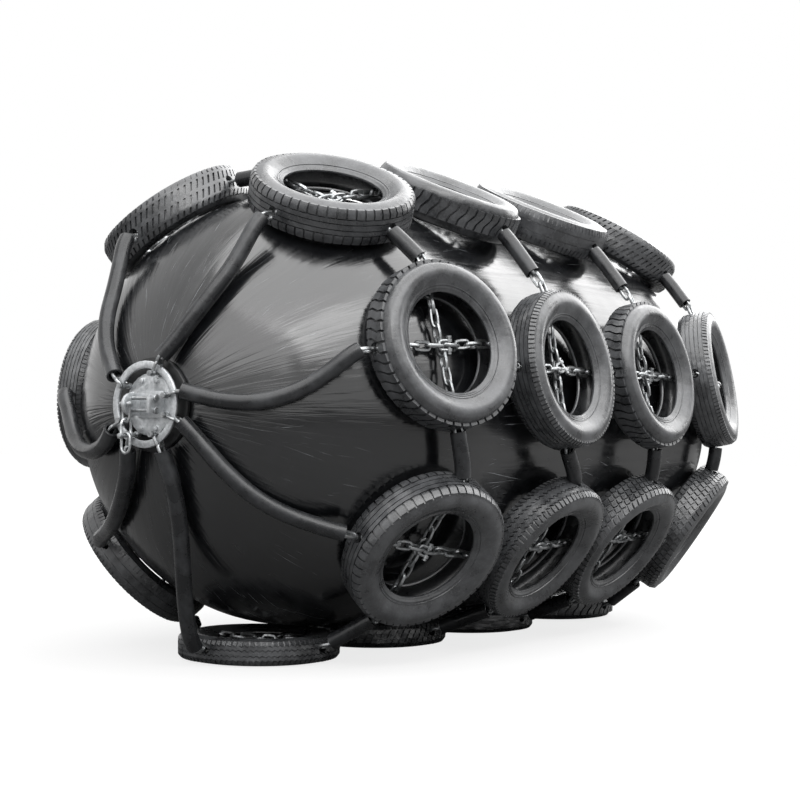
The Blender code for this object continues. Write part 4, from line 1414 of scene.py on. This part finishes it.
@dataclass
class Bag:
    """The rubber bag, its domes closed flat at both ends."""

    shape: BagShape
    around: int = 160
    dome_steps: int = 34
    barrel_steps: int = 30
    swell: float = 0.004
    swell_start: float = 0.4  # distance from the axis from which it is full
    long_wave: tuple[float, float, int, float] = (5.1, 1.3, 7, 0.6)
    short_wave: tuple[float, float, int, float] = (8.7, -0.4, 11, 0.0)

    @staticmethod
    def wave(point: Vector, rate: float, start: float, lobes: int, turned: float) -> float:
        """Height of one wave of the bag's uneven wall.

        Args:
            point: a point from the bag's middle.
            rate: how fast the wave runs along the bag, in radians for each metre.
            start: where it starts along the bag, in radians.
            lobes: how many waves go round the bag.
            turned: how far they are turned, in radians.

        Returns:
            The height, from -1 to 1.
        """
        around = math.atan2(point.z, point.y)
        return math.sin(point.x * rate + start) * math.sin(around * lobes + turned)

    def section(self) -> list[tuple[float, float]]:
        """Half outline of the bag as (x, radius) points, front to rear."""
        shape = self.shape
        seat = shape.radius_at(shape.half_length)
        half = []
        last = math.asin((seat / shape.radius) ** (shape.dome_exponent / 2))
        for step in range(self.dome_steps + 1):
            turn = last + (math.pi / 2 - last) * step / self.dome_steps
            power = 2 / shape.dome_exponent
            reach = shape.barrel_half + shape.dome_length * max(0.0, math.cos(turn)) ** power
            half.append((reach, shape.radius * math.sin(turn) ** power))
        barrel = [(shape.barrel_half * (1 - 2 * step / self.barrel_steps), shape.radius)
                  for step in range(1, self.barrel_steps)]
        lip = [(half[0][0], 0.0)]
        front = [(-reach, radius) for reach, radius in lip + half]
        rear = [(reach, radius) for reach, radius in reversed(lip + half)]
        middle = [(-reach, radius) for reach, radius in barrel]
        return front + middle + rear

    def build(self, material: bpy.types.Material) -> None:
        """Spin the outline into the bag and let it swell a little unevenly.

        Args:
            material: the bag's rubber.
        """
        outline = self.section()
        Bench.clear()
        bpy.ops.mesh.primitive_grid_add(x_subdivisions=len(outline) - 1, y_subdivisions=1,
                                        size=1.0)
        bag = bpy.context.active_object
        keep = [vertex for vertex in bag.data.vertices if vertex.co.y < 0]
        keep.sort(key=lambda vertex: vertex.co.x)
        for vertex, (x, radius) in zip(keep, outline):
            vertex.co = (x, 0.0, -radius)
        Bench.choose(bag, Part.POINTS, lambda point: point.y > 0.0)

        def spin() -> None:
            """Keep one edge of the grid and turn it all the way round."""
            bpy.ops.mesh.delete(type="VERT")
            bpy.ops.mesh.select_all(action="SELECT")
            bpy.ops.mesh.spin(steps=self.around, angle=2 * math.pi, center=(0, 0, 0),
                              axis=(1, 0, 0))
        Bench.edit(bag, spin, everything=False)
        Bench.close(bag)
        for vertex in bag.data.vertices:
            point = vertex.co
            wave = self.wave(point, *self.long_wave) + self.wave(point, *self.short_wave)
            share = min(1.0, math.hypot(point.y, point.z) / self.swell_start)
            shrink = 1.0 - self.swell * 0.5 * (1.0 + wave / 2) * share
            vertex.co = Vector((point.x, point.y * shrink, point.z * shrink)) + self.shape.middle
        Bench.smooth(bag, 45.0)
        bag.name = "rubber_bag"
        Bench.dress(bag, material, "bag_rubber", ["rubber_body"])


@dataclass
class EndFittings:
    """Flange, cover, net ring, clevis and shackles, refined from their solids."""

    plate: bpy.types.Material
    bolt: bpy.types.Material
    brass: bpy.types.Material
    coated: bpy.types.Material
    notch_angle: float = 31.0  # degrees from the top
    notch_lean: float = 8.0  # degrees between the notch and the radius
    notch_size: tuple[float, float, float] = (0.06, 0.012, 0.022)

    def refine(self, node: str, material: bpy.types.Material, slot: str, bevel: float,
               body: str = FENDER_BODY, smooth: float = 40.0) -> bpy.types.Object:
        """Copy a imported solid, merge it and round its edges.

        Args:
            node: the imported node.
            material: its finish.
            slot: the record's material slot.
            bevel: how far its edges are rounded, in metres.
            body: the body that it rides on.
            smooth: angle past which an edge stays sharp.

        Returns:
            The refined piece.
        """
        piece = Bench.copy(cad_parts[node], f"{node}_steel", Matrix.Identity(4))

        def tidy() -> None:
            """Merge the loose triangles into whole faces."""
            bpy.ops.mesh.remove_doubles(threshold=MERGE_DISTANCE)
            bpy.ops.mesh.dissolve_limited(angle_limit=math.radians(1.0))
        Bench.edit(piece, tidy)
        Bench.modify(piece, "BEVEL", width=bevel, segments=2, limit_method="ANGLE",
                     angle_limit=math.radians(50.0), use_clamp_overlap=True)
        Bench.smooth(piece, smooth)
        return Bench.dress(piece, material, slot, [node], body)

    def notch(self, ring: bpy.types.Object) -> None:
        """Cut the short open notch through the top of a net ring.

        Args:
            ring: the refined ring.
        """
        centre, reach = middle_and_radius(ring.name.removesuffix("_steel"))
        turn = math.radians(self.notch_angle)
        outward = Vector((0.0, -math.sin(turn), math.cos(turn)))
        Bench.clear()
        bpy.ops.mesh.primitive_cube_add(size=1.0, location=centre + outward * reach,
                                        rotation=(turn + math.radians(self.notch_lean), 0.0, 0.0))
        cutter = bpy.context.active_object
        cutter.scale = self.notch_size
        Bench.modify(ring, "BOOLEAN", operation="DIFFERENCE", solver="EXACT", object=cutter)
        Bench.discard(cutter)

    def build(self) -> None:
        """Refine every fitting."""
        for end in ("front", "rear"):
            for name, finish, bevel in (("flange", self.coated, 0.004),
                                        ("cover", self.plate, 0.0025),
                                        ("net_ring", self.plate, 0.003)):
                piece = self.refine(f"{end}_{name}", finish, "galvanised_plate", bevel)
                if name == "net_ring":
                    self.notch(piece)
        self.refine("tow_clevis", self.plate, "galvanised_plate", 0.002)
        self.refine("air_valve", self.plate, "galvanised_plate", 0.003)
        self.refine("valve_cap", self.brass, "valve_brass", 0.002)
        for node in ("upper_cross_bolt", "lower_cross_bolt"):
            self.refine(node, self.bolt, "galvanised_bolt", 0.0012)
        for node, body in (("tow_shackle", "tow_shackle"), ("tow_shackle_pin", "tow_shackle"),
                           ("joining_shackle", "joining_shackle"),
                           ("joining_shackle_pin", "joining_shackle"),
                           ("end_link", "end_link")):
            self.refine(node, self.bolt, "galvanised_bolt", 0.0008, body, 50.0)


@dataclass
class Studio:
    """Camera, lamps, pale floor and white surroundings."""

    middle: Vector
    focal_pixels: float = 1697.7  # fitted to the photo
    frame_pixels: float = 800.0  # width of the photo
    sensor: float = 36.0
    place: Vector = field(default_factory=lambda: Vector((-7.1095, -4.9685, -0.1323)))
    yaw: float = 0.948
    pitch: float = 0.023
    roll: float = 0.011
    sky_light: float = 0.10  # the world's strength as a light
    floor_size: float = 120.0
    floor_colour: str = "7c7c7c"
    floor_glow: float = 0.80  # the floor's own light near the fender, 1 far off
    far_floor: tuple[float, float] = (3.5, 11.0)
    mirrored_floor_glow: float = 0.01
    lamps: tuple[tuple[str, tuple[float, float, float], tuple[float, float], float], ...] = (
        ("sky_above", (0.0, -2.0, 9.0), (23.0, 15.0), 2.4),
        ("sky_ahead", (-4.0, -12.0, 9.0), (22.0, 7.0), 2.1),
        ("sky_front", (-14.0, -1.0, 7.5), (14.0, 7.0), 1.5),
        ("sky_behind", (13.5, 0.5, 7.2), (20.0, 10.0), 3.2))

    def camera(self) -> None:
        """Stand the camera where the photograph was taken from."""
        data = bpy.data.cameras.new("camera")
        data.sensor_width = self.sensor
        data.lens = self.focal_pixels * self.sensor / self.frame_pixels
        data.clip_end = 200.0
        made = bpy.data.objects.new("camera", data)
        bpy.context.scene.collection.objects.link(made)
        ahead = Vector((math.sin(self.yaw) * math.cos(self.pitch),
                        math.cos(self.yaw) * math.cos(self.pitch), math.sin(self.pitch)))
        right = Vector((math.cos(self.yaw), -math.sin(self.yaw), 0.0))
        above = right.cross(ahead)
        tilted = math.cos(self.roll) * right + math.sin(self.roll) * above
        above = -math.sin(self.roll) * right + math.cos(self.roll) * above
        made.matrix_world = standing(self.middle + self.place, tilted, above, -ahead)
        bpy.context.scene.camera = made

    def lamp(self, name: str, place: Sequence[float], size: tuple[float, float],
             shine: float) -> None:
        """Add a large soft lamp aimed at the fender.

        Args:
            name: the lamp's name.
            place: where it stands, from the fender's middle.
            size: its width and height in metres.
            shine: how bright its face is, where one is white.
        """
        data = bpy.data.lights.new(name, "AREA")
        data.shape = "RECTANGLE"
        data.size, data.size_y = size
        data.energy = shine * math.pi * size[0] * size[1]
        made = bpy.data.objects.new(name, data)
        bpy.context.scene.collection.objects.link(made)
        made.visible_camera = False
        place = Vector(place)
        made.matrix_world = (Matrix.Translation(self.middle + place)
                             @ place.to_track_quat("Z", "Y").to_matrix().to_4x4())

    def surroundings(self) -> None:
        """White to the camera and to mirrors, softer as light."""
        world = bpy.data.worlds.new("white_studio")
        bpy.context.scene.world = world
        world.use_nodes = True
        tree = world.node_tree
        shine = tree.nodes["Background"]
        shine.inputs["Color"].default_value = (1.0, 1.0, 1.0, 1.0)
        path = tree.nodes.new("ShaderNodeLightPath")
        seen = path.outputs["Is Camera Ray"]
        for ray in ("Is Glossy Ray", "Is Transmission Ray"):
            either = tree.nodes.new("ShaderNodeMath")
            either.operation = "MAXIMUM"
            tree.links.new(seen, either.inputs[0])
            tree.links.new(path.outputs[ray], either.inputs[1])
            seen = either.outputs[0]
        level = tree.nodes.new("ShaderNodeMapRange")
        level.inputs["To Min"].default_value = self.sky_light
        level.inputs["To Max"].default_value = 1.0
        tree.links.new(seen, level.inputs["Value"])
        tree.links.new(level.outputs[0], shine.inputs["Strength"])

    def floor(self) -> None:
        """A wide pale floor that keeps the fender's shadow."""
        Bench.clear()
        bpy.ops.mesh.primitive_plane_add(size=self.floor_size, location=(0.0, 0.0, 0.0))
        ground = bpy.context.active_object
        ground.name = "studio_floor"
        make = Shading("pale_studio_floor")
        path = make.add("ShaderNodeLightPath")
        away = make.add("ShaderNodeVectorMath", {"operation": "LENGTH", 0: make.place}).outputs[1]
        glow = make.ramp(away, *self.far_floor, self.floor_glow, 1.0)
        direct = make.join("MULTIPLY", path.outputs["Is Camera Ray"], glow)
        mirrored = make.join("MULTIPLY", path.outputs["Is Glossy Ray"], self.mirrored_floor_glow)
        ground.data.materials.append(make.finish(
            {"Base Color": linear(self.floor_colour), "Roughness": 0.95,
             "Specular IOR Level": 0.0, "Emission Color": (1.0, 1.0, 1.0, 1.0),
             "Emission Strength": make.join("ADD", direct, mirrored)}))

    def build(self) -> None:
        """Set up the whole studio."""
        scene = bpy.context.scene
        scene.view_settings.view_transform = "Standard"
        self.camera()
        self.surroundings()
        self.floor()
        for name, place, size, shine in self.lamps:
            self.lamp(name, place, size, shine)


def main() -> None:
    """Build the fender's looks piece by piece, then the studio."""
    logging.basicConfig(level=logging.INFO, format="%(message)s")
    shape = BagShape()
    seats = [[Seat(ring, column, shape) for column in range(COLUMN_COUNT)]
             for ring in range(RING_COUNT)]
    tyre = TyreRubber().material()
    hose = HoseRubber().material()
    chain = GalvanisedSteel("galvanised_chain", roughness=0.36, rust_share=0.30).material()
    plate = GalvanisedSteel("galvanised_plate", bright="d2d4d6", dull="b6b9bb",
                            roughness=0.50, rust_share=0.07).material()
    bolt = GalvanisedSteel("galvanised_forging", bright="c6c8c9", dull="8d9092",
                           roughness=0.34, rust_share=0.15).material()
    coated = GalvanisedSteel("black_coated_steel", bright="1b1c1d", dull="121314",
                             rust="2a2420", roughness=0.45, metallic=0.0).material()
    Bag(shape).build(BagRubber(shape.middle).material())
    TyreSet(seats).build(tyre)
    links = Links()
    net = Net(shape, seats, links, Hose())
    net.hoops(chain, hose)
    net.runs(chain, hose)
    links.discard()
    EndFittings(plate, bolt, CastBrass().material(), coated).build()
    Studio(shape.middle).build()


if __name__ == "__main__":
    main()
